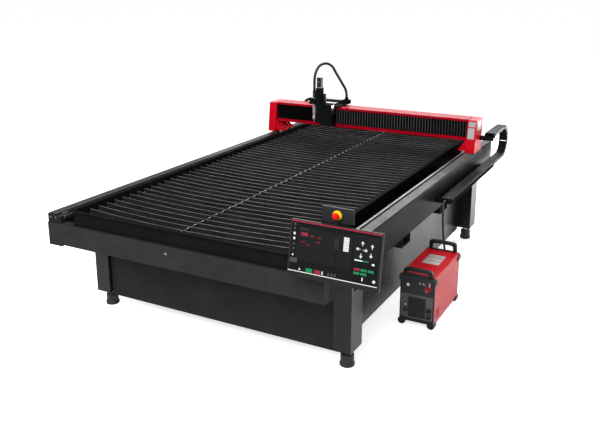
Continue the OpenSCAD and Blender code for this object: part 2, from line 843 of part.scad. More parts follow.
module left_tower() color(red_paint) mirror([1, 0, 0]) tower(tower_in_l);

module gantry_beam() color(dark_steel)
    tube_box([-tower_in_l, tower_in_r], [gbeam_y, gbeam_y + gbeam_d], [gbeam_z, gbeam_top], gbeam_wall, 0);

module gantry_covers() color(red_paint) {
    x = [-tower_in_l, tower_in_r];
    back = gbeam_y + gbeam_d;
    block(x, [cover_y, back + cover_t], [cover_top - cover_t, cover_top]);
    block(x, [cover_y, cover_y + cover_t], [cover_top - cover_lip, cover_top]);
    block(x, [back, back + cover_t], [cover_top - cover_lip, cover_top]);
    block(x, [cover_y, back], [gbeam_z - cover_t, gbeam_z]);
    block(x, [cover_y, cover_y + cover_t], [strip_z, strip_z + strip_h]);
}

// A foot stands on two bearing blocks and carries a tower on its upright wall
module gantry_foot(inner) {
    wall_t = 8;
    pad_z = block_z + block_h;
    window_half = pinion_r + 6;
    difference() {
        block([inner - wall_t, inner], [block_ys[0] - 5, block_ys[1] + block_l + 5], [pad_z, foot_top_z]);
        block([inner - wall_t - 1, inner + 1], [pinion_y - window_half, pinion_y + window_half],
            [pad_z - 1, pinion_z + pinion_r]);
    }
    for (y = block_ys) {
        block([foot_in, inner], [y, y + block_l], [pad_z, pad_z + foot_pad_t]);
        for (rib_y = [y, y + block_l - foot_pad_t])
            along_y(rib_y, foot_pad_t) polygon([[foot_in, pad_z + foot_pad_t],
                [inner - wall_t, pad_z + foot_pad_t], [inner - wall_t, foot_top_z]]);
    }
}

module gantry_feet() color(red_paint) {
    gantry_foot(tower_in_r);
    mirror([1, 0, 0]) gantry_foot(tower_in_l);
}

// Section of a bearing block that straddles a rail, with the rail's foot at zero height
module block_section(base) {
    half = rail_s / 2 + slide_gap;
    polygon([
        [-block_w / 2, base], [-half, base], [-half, rail_s + slide_gap], [half, rail_s + slide_gap],
        [half, base], [block_w / 2, base], [block_w / 2, base + block_h], [-block_w / 2, base + block_h]
    ]);
}

module gantry_bearings() color(bright_steel) both_sides() for (y = block_ys)
    along_y(y, block_l) translate([rail_x, ledge_z]) block_section(block_z - ledge_z);

module gear_motor(inner) {
    difference() {
        union() {
            block([inner + cover_t, inner + cover_t + gearbox_t], [pinion_y - gearbox_half, pinion_y + gearbox_half],
                [tower_z + 1, motor_z + gearbox_half]);
            block([inner + cover_t + gearbox_t, inner + tower_w - cover_t - 2],
                [pinion_y - motor_s / 2, pinion_y + motor_s / 2], [motor_z - motor_s / 2, motor_z + motor_s / 2]);
        }
        rod_x(inner + cover_t - 1, gearbox_t - 4, pinion_y, pinion_z, shaft_r + run_gap);
    }
}

module gantry_motors() color(black_plastic) {
    gear_motor(tower_in_r);
    mirror([1, 0, 0]) gear_motor(tower_in_l);
}

module drive_pinion(inner) {
    x0 = beam_in - rack_w;
    along_x(x0, rack_w - side_gap) translate([pinion_y, pinion_z]) rotate(-90) pinion_profile();
    rod_x(x0 + side_gap, inner + cover_t + gearbox_t - 6 - x0 - side_gap, pinion_y, pinion_z, shaft_r);
}

module right_pinion() color(bright_steel) drive_pinion(tower_in_r);

module left_pinion() color(bright_steel) mirror([1, 0, 0]) drive_pinion(tower_in_l);

module beam_rails() color(bright_steel) for (z = mini_rail_zs)
    block([-tower_in_l, tower_in_r], [mini_rail_y, gbeam_y], [z - rail_s / 2, z + rail_s / 2]);

module beam_rack() color(dark_steel) along_y(gbeam_y - rack_w, rack_w)
    translate([cpin_x, crack_line_z]) rack_profile(cpin_x + tower_in_l - 10, tower_in_r - cpin_x - 10);

// A pleated strip between two ends, drawn in X and Y
module bellows(x0, x1) {
    n = round((x1 - x0) / pleat_l);
    step = (x1 - x0) / n;
    deep = pleat_d - bellows_t;
    front = [for (i = [0 : 2 * n]) [x0 + i * step / 2, bellows_y + (i % 2) * deep]];
    back = [for (i = [2 * n : -1 : 0]) [x0 + i * step / 2, bellows_y + bellows_t + (i % 2) * deep]];
    translate([0, 0, bellows_z]) linear_extrude(bellows_h) polygon(concat(front, back));
}

module left_bellows() color(black_plastic) bellows(-tower_in_l, spacer_x0);

module right_bellows() color(black_plastic) bellows(spacer_x1, tower_in_r);

module beam_chain_tray() color(black_paint) {
    x0 = mini_loop_x - mini_r - 60;
    y0 = gbeam_y + gbeam_d;
    y1 = mini_y + mini_w / 2 + 5;
    floor_z = mini_low_z - mini_h / 2;
    block([x0, mini_fixed_x + 10], [y0, y1], [floor_z - mini_tray_t, floor_z]);
    block([x0, mini_fixed_x + 10], [y1 - mini_tray_t, y1], [floor_z - mini_tray_t, floor_z + 20]);
    block([x0, mini_fixed_x + 10], [y0, y0 + mini_tray_t], [floor_z - mini_tray_t, floor_z + 20]);
    block([mini_fixed_x, mini_fixed_x + 10], [y0, y1], [floor_z - mini_tray_t, floor_z + mini_h]);
}

module beam_chain_lower_run() color(black_plastic) beam_chain_at(mini_fixed_x, mini_low_z)
    link_row(mini_pitch, mini_h, mini_w, mini_step, mini_lower_links);

mini_split = (mini_loop_links - 1) / 2;
module beam_chain_loop_low() color(black_plastic) beam_chain_at(mini_loop_x, mini_low_z)
    link_arc(mini_pitch, mini_h, mini_w, mini_step, mini_r, 0, mini_split);

module beam_chain_loop_high() color(black_plastic) beam_chain_at(mini_loop_x, mini_low_z)
    link_arc(mini_pitch, mini_h, mini_w, mini_step, mini_r, mini_split + 1, mini_loop_links - 1);

module beam_chain_upper_run() color(black_plastic) beam_chain_at(mini_loop_x, mini_high_z)
    rotate([0, 0, 180]) link_row(mini_pitch, mini_h, mini_w, mini_step, mini_upper_links);

// Arm on the right tower that carries the moving end of the table chain
module chain_arm() color(black_plastic) {
    edge = chain_w / 2 + side_gap;
    clip_t = 5;
    clip_h = chain_h * 0.7;
    tower_x = tower_in_r + tower_w;
    y0 = tower_back - 60;
    y1 = chain_end_y + chain_pitch;
    top = chain_high_z - chain_h / 2;
    block([tower_x, chain_x + edge + clip_t], [y0, y1], [top - 6, top]);
    block([tower_x, chain_x + edge + clip_t], [y0, y0 + 6], [top - arm_beam_h, top]);
    block([tower_x, tower_x + 6], [y0, tower_back - 2], [top - arm_beam_h, top]);
    for (side = [-1, 1]) translate([chain_x + side * (edge + clip_t / 2), 0, 0])
        block([-clip_t / 2, clip_t / 2], [chain_end_y, y1], [top - 6, top + clip_h]);
}

// Carriage

module carriage_plate() color(black_paint) {
    shaft_hole_r = shaft_r + 3;
    difference() {
        union() {
            block([plate_x0, plate_x1], [plate_y, plate_y + plate_t], [plate_z, plate_top]);
            block([spacer_x0, spacer_x1], [plate_y + plate_t, mini_block_y], [bellows_z + 4, bellows_z + bellows_h - 2]);
            block([housing_x0, housing_x1], [plate_y - housing_d, plate_y], [housing_z, housing_top]);
        }
        block([housing_x0 + cover_t, housing_x1 - cover_t], [plate_y - housing_d + cover_t, plate_y],
            [housing_z + cover_t, housing_top - cover_t]);
        rod_y(cpin_x, plate_y - 1, mini_block_y - plate_y + 2, cpin_z, shaft_hole_r);
    }
    arm_x0 = mini_end_x - mini_pitch;
    wall_y = mini_w / 2 + side_gap;
    block([arm_x0, bridge_x1], [plate_y + plate_t, mini_y + wall_y + bridge_t], [arm_z, arm_z + arm_t]);
    for (side = [-1, 1]) translate([0, mini_y + side * (wall_y + bridge_t / 2), 0])
        block([bridge_x0, bridge_x1], [-bridge_t / 2, bridge_t / 2], [arm_z, bridge_z]);
    block([bridge_x0, bridge_x1], [mini_y - wall_y, mini_y + wall_y], [bridge_z - bridge_t, bridge_z]);
    translate([(bridge_x0 + bridge_x1) / 2, mini_y, bridge_z]) cylinder(h = gland_h, r = lead_r + 5);
}

module carriage_bearings() color(bright_steel) for (z = mini_rail_zs, x = mini_block_xs)
    along_x(x - mini_block_l / 2, mini_block_l) translate([gbeam_y, z]) rotate(90) block_section(mini_block_base);

module carriage_motors() color(black_plastic) {
    difference() {
        block([cpin_x - motor_s / 2, cpin_x + motor_s / 2], [plate_y - housing_d + cover_t + 2, plate_y],
            [cpin_z - motor_s / 2, cpin_z + motor_s / 2]);
        rod_y(cpin_x, plate_y - 30, 31, cpin_z, shaft_r + run_gap);
    }
    z_motor_s = column_w - 4;
    difference() {
        block([(column_x0 + column_x1 - z_motor_s) / 2, (column_x0 + column_x1 + z_motor_s) / 2],
            [screw_y - z_motor_s / 2, screw_y + z_motor_s / 2], [column_top + cap_t, column_top + cap_t + z_motor_h]);
        translate([screw_x, screw_y, column_top + cap_t - 1]) cylinder(h = 22, r = screw_r + run_gap);
    }
}

module carriage_pinion() color(bright_steel) {
    along_y(gbeam_y - rack_w, rack_w - side_gap) translate([cpin_x, cpin_z]) rotate(-90) pinion_profile();
    rod_y(cpin_x, plate_y - 28, gbeam_y - 2 * side_gap - plate_y + 28, cpin_z, shaft_r);
}

// A channel open to the left, with a foot plate and a motor plate
module z_column() color(black_paint) difference() {
    block([column_x0, column_x1], [column_y, plate_y], [column_z, column_top + cap_t]);
    block([column_x0 - 1, column_x1 - column_wall], [column_y + column_wall, plate_y - column_wall],
        [column_z + 2 * cap_t, column_top]);
    translate([screw_x, screw_y, column_z + cap_t]) cylinder(h = column_h + cap_t, r = screw_r + run_gap);
}

module z_screw() color(bright_steel) translate([screw_x, screw_y, column_z + cap_t + slide_gap])
    cylinder(h = column_h + 15, r = screw_r);

module torch_holder() color(dark_steel) {
    nut_h = 40;
    y0 = column_y + column_wall + side_gap;
    y1 = plate_y - column_wall - side_gap;
    difference() {
        union() {
            block([column_x0 - holder_gap, screw_x + 12], [y0, y1], [holder_z, holder_z + nut_h]);
            block([column_x0 - holder_gap - holder_w, column_x0 - holder_gap], [column_y, plate_y],
                [holder_z, holder_z + holder_h]);
        }
        translate([screw_x, screw_y, holder_z - 1]) cylinder(h = nut_h + 2, r = screw_r + run_gap);
        translate([torch_x, screw_y, holder_z - 1]) cylinder(h = holder_h + 2, r = torch_r);
    }
}

module torch() color(black_plastic) translate([torch_x, screw_y, torch_z]) rotate_extrude()
    polygon([[0, tip_l], [torch_r - 1, tip_l], [torch_r, tip_l + 4], [torch_r, torch_l - 10],
             [torch_r - 1, torch_l], [0, torch_l]]);

module torch_tip() color("#b87a4b") translate([torch_x, screw_y, torch_z]) rotate_extrude()
    polygon([[0, 0], [3, 0], [5, 4], [8, 14], [12, 22], [torch_r - 1, 30], [torch_r - 1, 52], [torch_r - 3, 56],
             [torch_r - 3, tip_l - 4], [torch_r - 1, tip_l], [0, tip_l]]);

module torch_lead() color(black_plastic) cord(torch_route, lead_r, [1, 0, 0.35]);

// Controls

module screen_post() color(black_paint) {
    x0 = screen_x - post_s / 2;
    x1 = screen_x + post_s / 2;
    yoke_in = lug_span / 2 + lug_w + side_gap;
    yoke_t = 8;
    block([x0, x1], [post_y, post_y + post_s], [post_z, stop_z]);
    block([half_w, x0], [post_y, post_y + post_s], [post_z + 4, beam_top - beam_chamfer - 2]);
    block([screen_x - yoke_in - yoke_t, screen_x + yoke_in + yoke_t], [post_y - 6, post_y],
        [hinge_z - 40, hinge_z + 40]);
    for (side = [-1, 1]) translate([screen_x + side * (yoke_in + yoke_t / 2), 0, 0]) {
        block([-yoke_t / 2, yoke_t / 2], [hinge_y, post_y - 6], [hinge_z - lug_r, hinge_z + lug_r]);
        rod_x(-yoke_t / 2, yoke_t, hinge_y, hinge_z, lug_r);
    }
    rod_x(screen_x - yoke_in - 1, 2 * yoke_in + 2, hinge_y, hinge_z, hinge_r);
}

// Lays a piece of the screen on the tilted frame round its hinge
module on_screen() translate([screen_x, hinge_y, hinge_z]) rotate([-screen_tilt, 0, 0]) children();

module screen_housing() color(dark_steel) on_screen() difference() {
    back_y = screen_d - screen_off;
    union() {
        block([-screen_w / 2, screen_w / 2], [-screen_off, back_y - 14], [-screen_h / 2, screen_h / 2]);
        block([-screen_w / 2 + 40, screen_w / 2 - 40], [back_y - 14, back_y], [-screen_h / 2 + 40, screen_h / 2 - 60]);
        for (side = [-1, 1]) translate([side * (lug_span + lug_w) / 2, 0, 0]) {
            block([-lug_w / 2, lug_w / 2], [back_y, 0], [-lug_r, lug_r]);
            rod_x(-lug_w / 2, lug_w, 0, 0, lug_r);
        }
    }
    block([-screen_w / 2 + bezel, screen_w / 2 - bezel], [-screen_off - 1, -screen_off + glass_t],
        [-screen_h / 2 + chin_h, screen_h / 2 - bezel]);
    rod_x(-lug_span, 2 * lug_span, 0, 0, hinge_r + run_gap);
}

module screen_glass() color("#14181c") on_screen()
    block([-screen_w / 2 + bezel, screen_w / 2 - bezel], [-screen_off, -screen_off + glass_t],
        [-screen_h / 2 + chin_h, screen_h / 2 - bezel]);

// Folded panel, open at the back, with the stop button's contact block behind it
module estop_box() color(black_paint) difference() {
    x0 = stop_x - stop_w / 2;
    x1 = stop_x + stop_w / 2;
    union() {
        difference() {
            block([x0, x1], [stop_y, stop_y + stop_d], [stop_z, stop_z + stop_h]);
            block([x0 + cover_t, x1 - cover_t], [stop_y + cover_t, stop_y + stop_d + 1],
                [stop_z + cover_t, stop_z + stop_h - cover_t]);
        }
        block([stop_x - stop_block / 2, stop_x + stop_block / 2], [stop_y, stop_y + stop_block_d],
            [stop_mid_z - stop_block / 2, stop_mid_z + stop_block / 2]);
    }
    rod_y(stop_x, stop_y - 1, stop_stem_in + stop_travel + 3, stop_mid_z, stem_r + run_gap);
}

module estop_collar() color("#f2c500") difference() {
    rod_y(stop_x, stop_y - collar_t, collar_t, stop_mid_z, collar_r);
    rod_y(stop_x, stop_y - collar_t - 1, collar_t + 2, stop_mid_z, stem_r + run_gap);
}

module estop_stem() color(dark_steel)
    rod_y(stop_x, stop_y - collar_t - stop_stem_out, stop_stem_out + collar_t + stop_stem_in, stop_mid_z, stem_r);

// Mushroom head that turns on the stem's end
module estop_head() color("#d01622") {
    head_gap = stop_travel + 6;
    translate([stop_x, stop_y - collar_t - head_gap, stop_mid_z]) rotate([90, 0, 0]) rotate_extrude()
        polygon([[stem_r + run_gap, 0], [stop_head_r - 5, 0], [stop_head_r, 6], [stop_head_r, 11], [stop_head_r - 3, 16],
                 [stop_head_r - 9, stop_head_d - 1], [0, stop_head_d], [0, stop_stem_out - head_gap + run_gap],
                 [stem_r + run_gap, stop_stem_out - head_gap + run_gap]]);
}

// Power source

// Corner bumpers of one end, standing a little proud of the case
module bumpers(y0, grow) difference() {
    for (side = [-1, 1]) {
        rod_y(ps_x + side * (ps_half + bumper_out - bumper_r), y0 - grow, bumper_l + 2 * grow, bumper_r - 1,
            bumper_r + grow);
        rod_y(ps_x + side * (ps_half + bumper_out - top_bumper_r), y0 - grow, bumper_l + 2 * grow, top_bumper_z,
            top_bumper_r + grow);
    }
    block([ps_x - ps_w, ps_x + ps_w], [y0 - ps_w, y0 + ps_w], [-2 * bumper_r, 0]);
}

module power_case() color(red_paint) difference() {
    tube_box([ps_x - ps_half, ps_x + ps_half], [ps_case_y0, ps_case_y1], [ps_bottom, ps_h], ps_wall, 1);
    for (side = [-1, 1], i = [0 : 5])
        block([ps_x + side * ps_half - 2, ps_x + side * ps_half + 2],
            [ps_case_y0 + 40 + i * 12, ps_case_y0 + 46 + i * 12], [66, 126]);
    bumpers(ps_y - bumper_front, slide_gap);
    bumpers(ps_back + bumper_front - bumper_l, slide_gap);
}

// A handle drawn in X and Z, standing on the case's top
module handle_outline(height) difference() {
    union() {
        translate([-handle_half, 0]) square([2 * handle_half, height - handle_bar]);
        translate([handle_bar - handle_half, 0]) square([2 * (handle_half - handle_bar), height]);
        for (side = [-1, 1])
            translate([side * (handle_half - handle_bar), height - handle_bar]) circle(handle_bar);
    }
    translate([handle_bar - handle_half, 4]) square([2 * (handle_half - handle_bar), height - handle_bar - 4]);
    translate([-2 * handle_half, -2 * handle_half]) square([4 * handle_half, 2 * handle_half]);
}

module end_moulding(y0, height) {
    block([ps_x - ps_half, ps_x + ps_half], [y0, y0 + ps_frame_d], [ps_bottom, ps_h]);
    translate([ps_x, 0, ps_h]) along_y(y0, ps_frame_d) handle_outline(height);
}

module power_end_frames() color(black_plastic) {
    difference() {
        union() {
            end_moulding(ps_y, front_handle_h);
            translate([ps_x, 0, ps_h]) along_y(ps_y, handle_d) handle_outline(front_handle_h);
            bumpers(ps_y - bumper_front, 0);
        }
        block([ps_x - panel_half, ps_x + panel_half], [ps_y - bumper_front - 1, panel_y + panel_t],
            [panel_z0, panel_z1]);
    }
    end_moulding(ps_case_y1, rear_handle_h);
    translate([ps_x, 0, ps_h]) along_y(ps_back - handle_d, handle_d) handle_outline(rear_handle_h);
    bumpers(ps_back + bumper_front - bumper_l, 0);
    rod_y(ps_x, ps_back - 1, lead_gland_d + 1, lead_gland_z, lead_gland_r);
}

module power_panel() color(dark_steel) {
    bar = (grille_z1 - grille_z0) / (2 * grille_bars);
    sockets = [[ps_x - 78, 120], [ps_x + 82, 130], [ps_x + 82, 85]];
    difference() {
        union() {
            block([ps_x - panel_half, ps_x + panel_half], [panel_y, panel_y + panel_t], [panel_z0, panel_z1]);
            for (s = sockets) rod_y(s[0], panel_y - 14, 15, s[1], 14);
        }
        for (i = [0 : grille_bars - 1])
            block([ps_x - grille_half, ps_x + grille_half], [panel_y - 1, panel_y + 5],
                [grille_z0 + 2 * i * bar, grille_z0 + (2 * i + 1) * bar]);
        for (s = sockets) rod_y(s[0], panel_y - 15, 10, s[1], 9);
        rod_y(knob_x, panel_y - 1, panel_t - 1, knob_z, knob_shaft_r + run_gap);
    }
}

module power_knob() color(red_paint) {
    rod_y(knob_x, panel_y - knob_d, knob_d - 1, knob_z, knob_r);
    rod_y(knob_x, panel_y - 2, 6, knob_z, knob_shaft_r);
    block([knob_x - 3, knob_x + 3], [panel_y - knob_d - 5, panel_y - knob_d + 1], [knob_z - knob_r + 1, knob_z + knob_r - 1]);
}

module power_lead() color(black_plastic) cord(power_route, power_lead_r, [1, 0, 0]);

placed() side_beams();
placed() front_beam();
placed() rear_beam();
placed() side_rails();
placed() side_racks();
placed() water_pan();
placed() slat_supports();
placed() cutting_slats();
placed() legs();
placed() foot_pads();
placed() foot_studs();
placed() end_skirts();
placed() side_skirts();
placed() cross_members();
placed() chain_tray();
placed() table_chain_lower_run();
placed() screen_post();
placed() estop_box();
placed() estop_collar();
placed() power_case();
placed() power_end_frames();
placed() power_panel();
placed() power_lead();
placed() screen_housing();
placed() screen_glass();
placed() estop_stem();
placed() estop_head();
placed() power_knob();
placed() gantry_beam();
placed() gantry_covers();
placed() left_tower();
placed() right_tower();
placed() gantry_feet();
placed() gantry_bearings();
placed() gantry_motors();
placed() beam_rails();
placed() beam_rack();
placed() left_bellows();
placed() right_bellows();
placed() beam_chain_tray();
placed() chain_arm();
placed() table_chain_upper_run();
placed() beam_chain_lower_run();
placed() left_pinion();
placed() right_pinion();
placed() table_chain_loop_low();
placed() table_chain_loop_high();
placed() beam_chain_loop_low();
placed() beam_chain_loop_high();
placed() carriage_plate();
placed() carriage_bearings();
placed() carriage_motors();
placed() z_column();
placed() beam_chain_upper_run();
placed() carriage_pinion();
placed() z_screw();
placed() torch_holder();
placed() torch();
placed() torch_tip();
placed() torch_lead();
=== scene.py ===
# %% [markdown]
# # A plasma cutting table
# The solids of this machine come from a CAD program. Here they get their finishes, and the soft and
# many-jointed parts that CAD only blocks out, such as cable chains, bellows and leads, get their true form.
# Every object shares the CAD frame, in metres, so nothing has to be fitted by eye.

# %% Load the frame
import json
import math
import bmesh
import bpy
from mathutils import Matrix, Vector
from mathutils.geometry import interpolate_bezier


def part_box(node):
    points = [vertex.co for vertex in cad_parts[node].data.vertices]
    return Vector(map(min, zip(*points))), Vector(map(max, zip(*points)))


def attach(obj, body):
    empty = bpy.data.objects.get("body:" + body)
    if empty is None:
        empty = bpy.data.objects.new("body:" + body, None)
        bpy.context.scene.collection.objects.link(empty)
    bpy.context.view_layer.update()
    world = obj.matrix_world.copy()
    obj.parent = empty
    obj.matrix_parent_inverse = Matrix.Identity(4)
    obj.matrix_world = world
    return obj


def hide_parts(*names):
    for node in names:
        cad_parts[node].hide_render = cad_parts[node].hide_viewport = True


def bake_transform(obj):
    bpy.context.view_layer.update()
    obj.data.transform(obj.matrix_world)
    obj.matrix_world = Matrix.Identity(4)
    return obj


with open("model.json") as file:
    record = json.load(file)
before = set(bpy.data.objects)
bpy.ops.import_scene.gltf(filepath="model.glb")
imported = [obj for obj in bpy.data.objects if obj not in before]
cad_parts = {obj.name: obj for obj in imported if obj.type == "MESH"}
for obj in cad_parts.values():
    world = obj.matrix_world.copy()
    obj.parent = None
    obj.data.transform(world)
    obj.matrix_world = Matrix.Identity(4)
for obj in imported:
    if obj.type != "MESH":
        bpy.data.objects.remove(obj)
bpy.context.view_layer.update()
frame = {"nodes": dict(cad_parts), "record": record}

# %% [markdown]
# A machine builder measures from the table's front face and centre line, in millimetres. The front beam
# shows where that point lies, so `row` turns shop measures into the frame's metres.

# %% Shop measures
MM = 0.001
beam_low, beam_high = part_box("front_beam")
table_origin = Vector(((beam_low[0] + beam_high[0]) / 2, beam_low[1], 0))


def row(x, y, z):
    return table_origin + Vector((x, y, z)) * MM


print("front of the table", tuple(round(v, 4) for v in table_origin))

# %% [markdown]
# The camera stands in front of the right corner and looks down along the table. Its place, heading and lens
# were solved from straight edges whose real lengths are known, which fits better than turning it by hand.

# %% Camera
CAMERA_YAW = -0.4925
CAMERA_PITCH = 0.2644
camera_data = bpy.data.cameras.new("photo_camera")
camera = bpy.data.objects.new("photo_camera", camera_data)
bpy.context.collection.objects.link(camera)
forward = Vector((math.sin(CAMERA_YAW) * math.cos(CAMERA_PITCH),
                  math.cos(CAMERA_YAW) * math.cos(CAMERA_PITCH),
                  -math.sin(CAMERA_PITCH)))
camera.location = row(2592.7, -3232.9, 2309.7)
camera.rotation_euler = forward.to_track_quat("-Z", "Y").to_euler()
camera_data.sensor_width = 36
camera_data.lens = 44.325
camera_data.shift_y = -0.07
camera_data.clip_end = 500
bpy.context.scene.camera = camera
print("camera at", tuple(round(v, 3) for v in camera.location))

# %% [markdown]
# Two leads hang free on this machine: the torch lead, which arches from the torch to the carriage, and the
# power lead, which drops from the cable tray to the power source. A lead keeps its length, so each route is
# a list of points on one smooth curve. A curve with a round bevel makes the jacket, and it becomes a mesh.

# %% Routes of the leads
TORCH_LEAD_D = 25
POWER_LEAD_D = 16
torch_lead_points = [
    (-511, 2834, 1240), (-511, 2834, 1300), (-510, 2834, 1360), (-504, 2838, 1405), (-492, 2846, 1445),
    (-475, 2862, 1478), (-452, 2884, 1496), (-427, 2910, 1500), (-404, 2937, 1488), (-386, 2964, 1462),
    (-372, 2994, 1415), (-350, 3034, 1350), (-333, 3064, 1300), (-321, 3086, 1264), (-316, 3096, 1245),
    (-311.4, 3103.9, 1222), (-308.9, 3108.5, 1199), (-308, 3110, 1175), (-308, 3110, 1165)]
power_lead_points = [
    (1079, 1854, 686), (1079, 1825, 686), (1081, 1800, 680), (1085, 1780, 663), (1090, 1768, 636),
    (1094, 1762, 600), (1098, 1760, 550), (1101, 1760, 500), (1103, 1772, 440), (1106, 1780, 390),
    (1111, 1788, 340), (1118, 1794, 290), (1123, 1796, 254), (1126, 1792, 232), (1128, 1781, 213),
    (1129, 1764, 198.6), (1130, 1748.6, 192.2), (1130, 1732, 190), (1130, 1722, 190)]


def smooth_route(points, steps=3):
    knots = [row(*point) for point in points]
    route = []
    for i in range(len(knots) - 1):
        before = knots[max(i - 1, 0)]
        after = knots[min(i + 2, len(knots) - 1)]
        leaving = knots[i] + (knots[i + 1] - before) / 6
        arriving = knots[i + 1] - (after - knots[i]) / 6
        route += interpolate_bezier(knots[i], leaving, arriving, knots[i + 1], steps + 1)[:-1]
    return route + [knots[-1]]


def route_length(route):
    return sum((b - a).length for a, b in zip(route, route[1:]))


torch_route = smooth_route(torch_lead_points)
power_route = smooth_route(power_lead_points)
print("torch lead", round(route_length(torch_route), 3), "m")
print("power lead", round(route_length(power_route), 3), "m")

# %% Torch lead and power lead


def tube_piece(name, route, diameter):
    curve = bpy.data.curves.new(name + "_route", "CURVE")
    curve.dimensions = "3D"
    curve.bevel_depth = diameter / 2 * MM
    curve.bevel_resolution = 5
    curve.use_fill_caps = True
    spline = curve.splines.new("POLY")
    spline.points.add(len(route) - 1)
    for point, place in zip(spline.points, route):
        point.co = (*place, 1)
    draft = bpy.data.objects.new(name + "_draft", curve)
    bpy.context.collection.objects.link(draft)
    mesh = bpy.data.meshes.new_from_object(draft.evaluated_get(bpy.context.evaluated_depsgraph_get()))
    bpy.data.objects.remove(draft)
    mesh.shade_smooth()
    mesh.name = name
    piece = bpy.data.objects.new(name, mesh)
    bpy.context.collection.objects.link(piece)
    return piece


torch_lead = tube_piece("torch_lead_jacket", torch_route, TORCH_LEAD_D)
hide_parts("torch_lead")
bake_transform(torch_lead)
power_lead = tube_piece("power_lead_jacket", power_route, POWER_LEAD_D)
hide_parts("power_lead")
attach(power_lead, "table")
print("lead jackets", TORCH_LEAD_D, "and", POWER_LEAD_D, "mm across")

# %% [markdown]
# Finishes share a few effects, so each effect is a node group with named sockets. `fine_grain` gives the
# speckle of a coat or a rolled sheet at two sizes, `soft_edges` rounds the light on sharp CAD edges and masks
# a paler edge tone that is partly wear and partly painted highlight, and a third group marks faces that look
# up, for real dust on some finishes and a painted sheen on others. Groups give masks and normals only.

# %% Node helpers


def add_node(tree, kind, **settings):
    made = tree.nodes.new(kind)
    for key, value in settings.items():
        setattr(made, key, value)
    return made


def set_inputs(made, **values):
    for key, value in values.items():
        made.inputs[key.replace("_", " ")].default_value = value
    return made


def effect_group(name, inputs, outputs):
    group = bpy.data.node_groups.new(name, "ShaderNodeTree")
    for label, value in inputs.items():
        group.interface.new_socket(label, in_out="INPUT", socket_type="NodeSocketFloat").default_value = value
    for label, kind in outputs.items():
        group.interface.new_socket(label, in_out="OUTPUT", socket_type=kind)
    print("effect", name, "gives", list(outputs))
    return group, group.nodes.new("NodeGroupInput"), group.nodes.new("NodeGroupOutput")


# %% Fine grain


def fine_grain_group():
    group, given, result = effect_group(
        "fine_grain", {"Scale": 400.0, "Cloud Scale": 6.0},
        {"Speckle": "NodeSocketFloat", "Cloud": "NodeSocketFloat"})
    place = add_node(group, "ShaderNodeTexCoord")
    speckle = set_inputs(add_node(group, "ShaderNodeTexNoise"), Detail=3.0, Roughness=0.6)
    cloud = set_inputs(add_node(group, "ShaderNodeTexNoise"), Detail=4.0, Roughness=0.65)
    for texture, label, out in ((speckle, "Scale", "Speckle"), (cloud, "Cloud Scale", "Cloud")):
        group.links.new(place.outputs["Object"], texture.inputs["Vector"])
        group.links.new(given.outputs[label], texture.inputs["Scale"])
        group.links.new(texture.outputs["Fac"], result.inputs[out])
    return group


fine_grain = fine_grain_group()

# %% Soft edges


# The paler edge tone masked here is partly wear and partly painted highlight.
def soft_edges_group():
    group, given, result = effect_group(
        "soft_edges", {"Radius": 0.002, "Gain": 4.0}, {"Normal": "NodeSocketVector", "Wear_Highlight": "NodeSocketFloat"})
    rounded = add_node(group, "ShaderNodeBevel", samples=4)
    face = add_node(group, "ShaderNodeNewGeometry")
    dot = add_node(group, "ShaderNodeVectorMath", operation="DOT_PRODUCT")
    turned = add_node(group, "ShaderNodeMath", operation="SUBTRACT")
    turned.inputs[0].default_value = 1.0
    gain = add_node(group, "ShaderNodeMath", operation="MULTIPLY", use_clamp=True)
    place = add_node(group, "ShaderNodeTexCoord")
    patches = set_inputs(add_node(group, "ShaderNodeTexNoise"), Scale=35.0, Detail=3.0)
    broken = add_node(group, "ShaderNodeMath", operation="MULTIPLY", use_clamp=True)
    group.links.new(given.outputs["Radius"], rounded.inputs["Radius"])
    group.links.new(rounded.outputs["Normal"], result.inputs["Normal"])
    group.links.new(rounded.outputs["Normal"], dot.inputs[0])
    group.links.new(face.outputs["Normal"], dot.inputs[1])
    group.links.new(dot.outputs["Value"], turned.inputs[1])
    group.links.new(turned.outputs["Value"], gain.inputs[0])
    group.links.new(given.outputs["Gain"], gain.inputs[1])
    group.links.new(place.outputs["Object"], patches.inputs["Vector"])
    group.links.new(gain.outputs["Value"], broken.inputs[0])
    group.links.new(patches.outputs["Fac"], broken.inputs[1])
    group.links.new(broken.outputs["Value"], result.inputs["Wear_Highlight"])
    return group


soft_edges = soft_edges_group()

# %% Dust and sheen on faces that look up


def settled_dust_group():
    group, given, result = effect_group(
        "settled_dust", {"Scale": 9.0, "Least Up": 0.6}, {"Mask": "NodeSocketFloat"})
    face = add_node(group, "ShaderNodeNewGeometry")
    parts = add_node(group, "ShaderNodeSeparateXYZ")
    level = set_inputs(add_node(group, "ShaderNodeMapRange"), From_Max=1.0, To_Min=0.0, To_Max=1.0)
    place = add_node(group, "ShaderNodeTexCoord")
    patches = set_inputs(add_node(group, "ShaderNodeTexNoise"), Detail=5.0, Roughness=0.7)
    both = add_node(group, "ShaderNodeMath", operation="MULTIPLY", use_clamp=True)
    group.links.new(face.outputs["Normal"], parts.inputs["Vector"])
    group.links.new(parts.outputs["Z"], level.inputs["Value"])
    group.links.new(given.outputs["Least Up"], level.inputs["From Min"])
    group.links.new(place.outputs["Object"], patches.inputs["Vector"])
    group.links.new(given.outputs["Scale"], patches.inputs["Scale"])
    group.links.new(level.outputs["Result"], both.inputs[0])
    group.links.new(patches.outputs["Fac"], both.inputs[1])
    group.links.new(both.outputs["Value"], result.inputs["Mask"])
    return group


settled_dust = settled_dust_group()

# %% [markdown]
# One builder lays the effects over a Principled shader: two tones mixed by the grain, bare metal or a paler
# tone on the edges, partly wear and partly painted highlight, real dust or a painted sheen on top, and
# roughness and bump from the same grain. Values that are the same all over a surface go straight on the
# shader's sockets.

# %% Finish builder


def use_group(tree, group, **values):
    made = add_node(tree, "ShaderNodeGroup", node_tree=group)
    return set_inputs(made, **values)


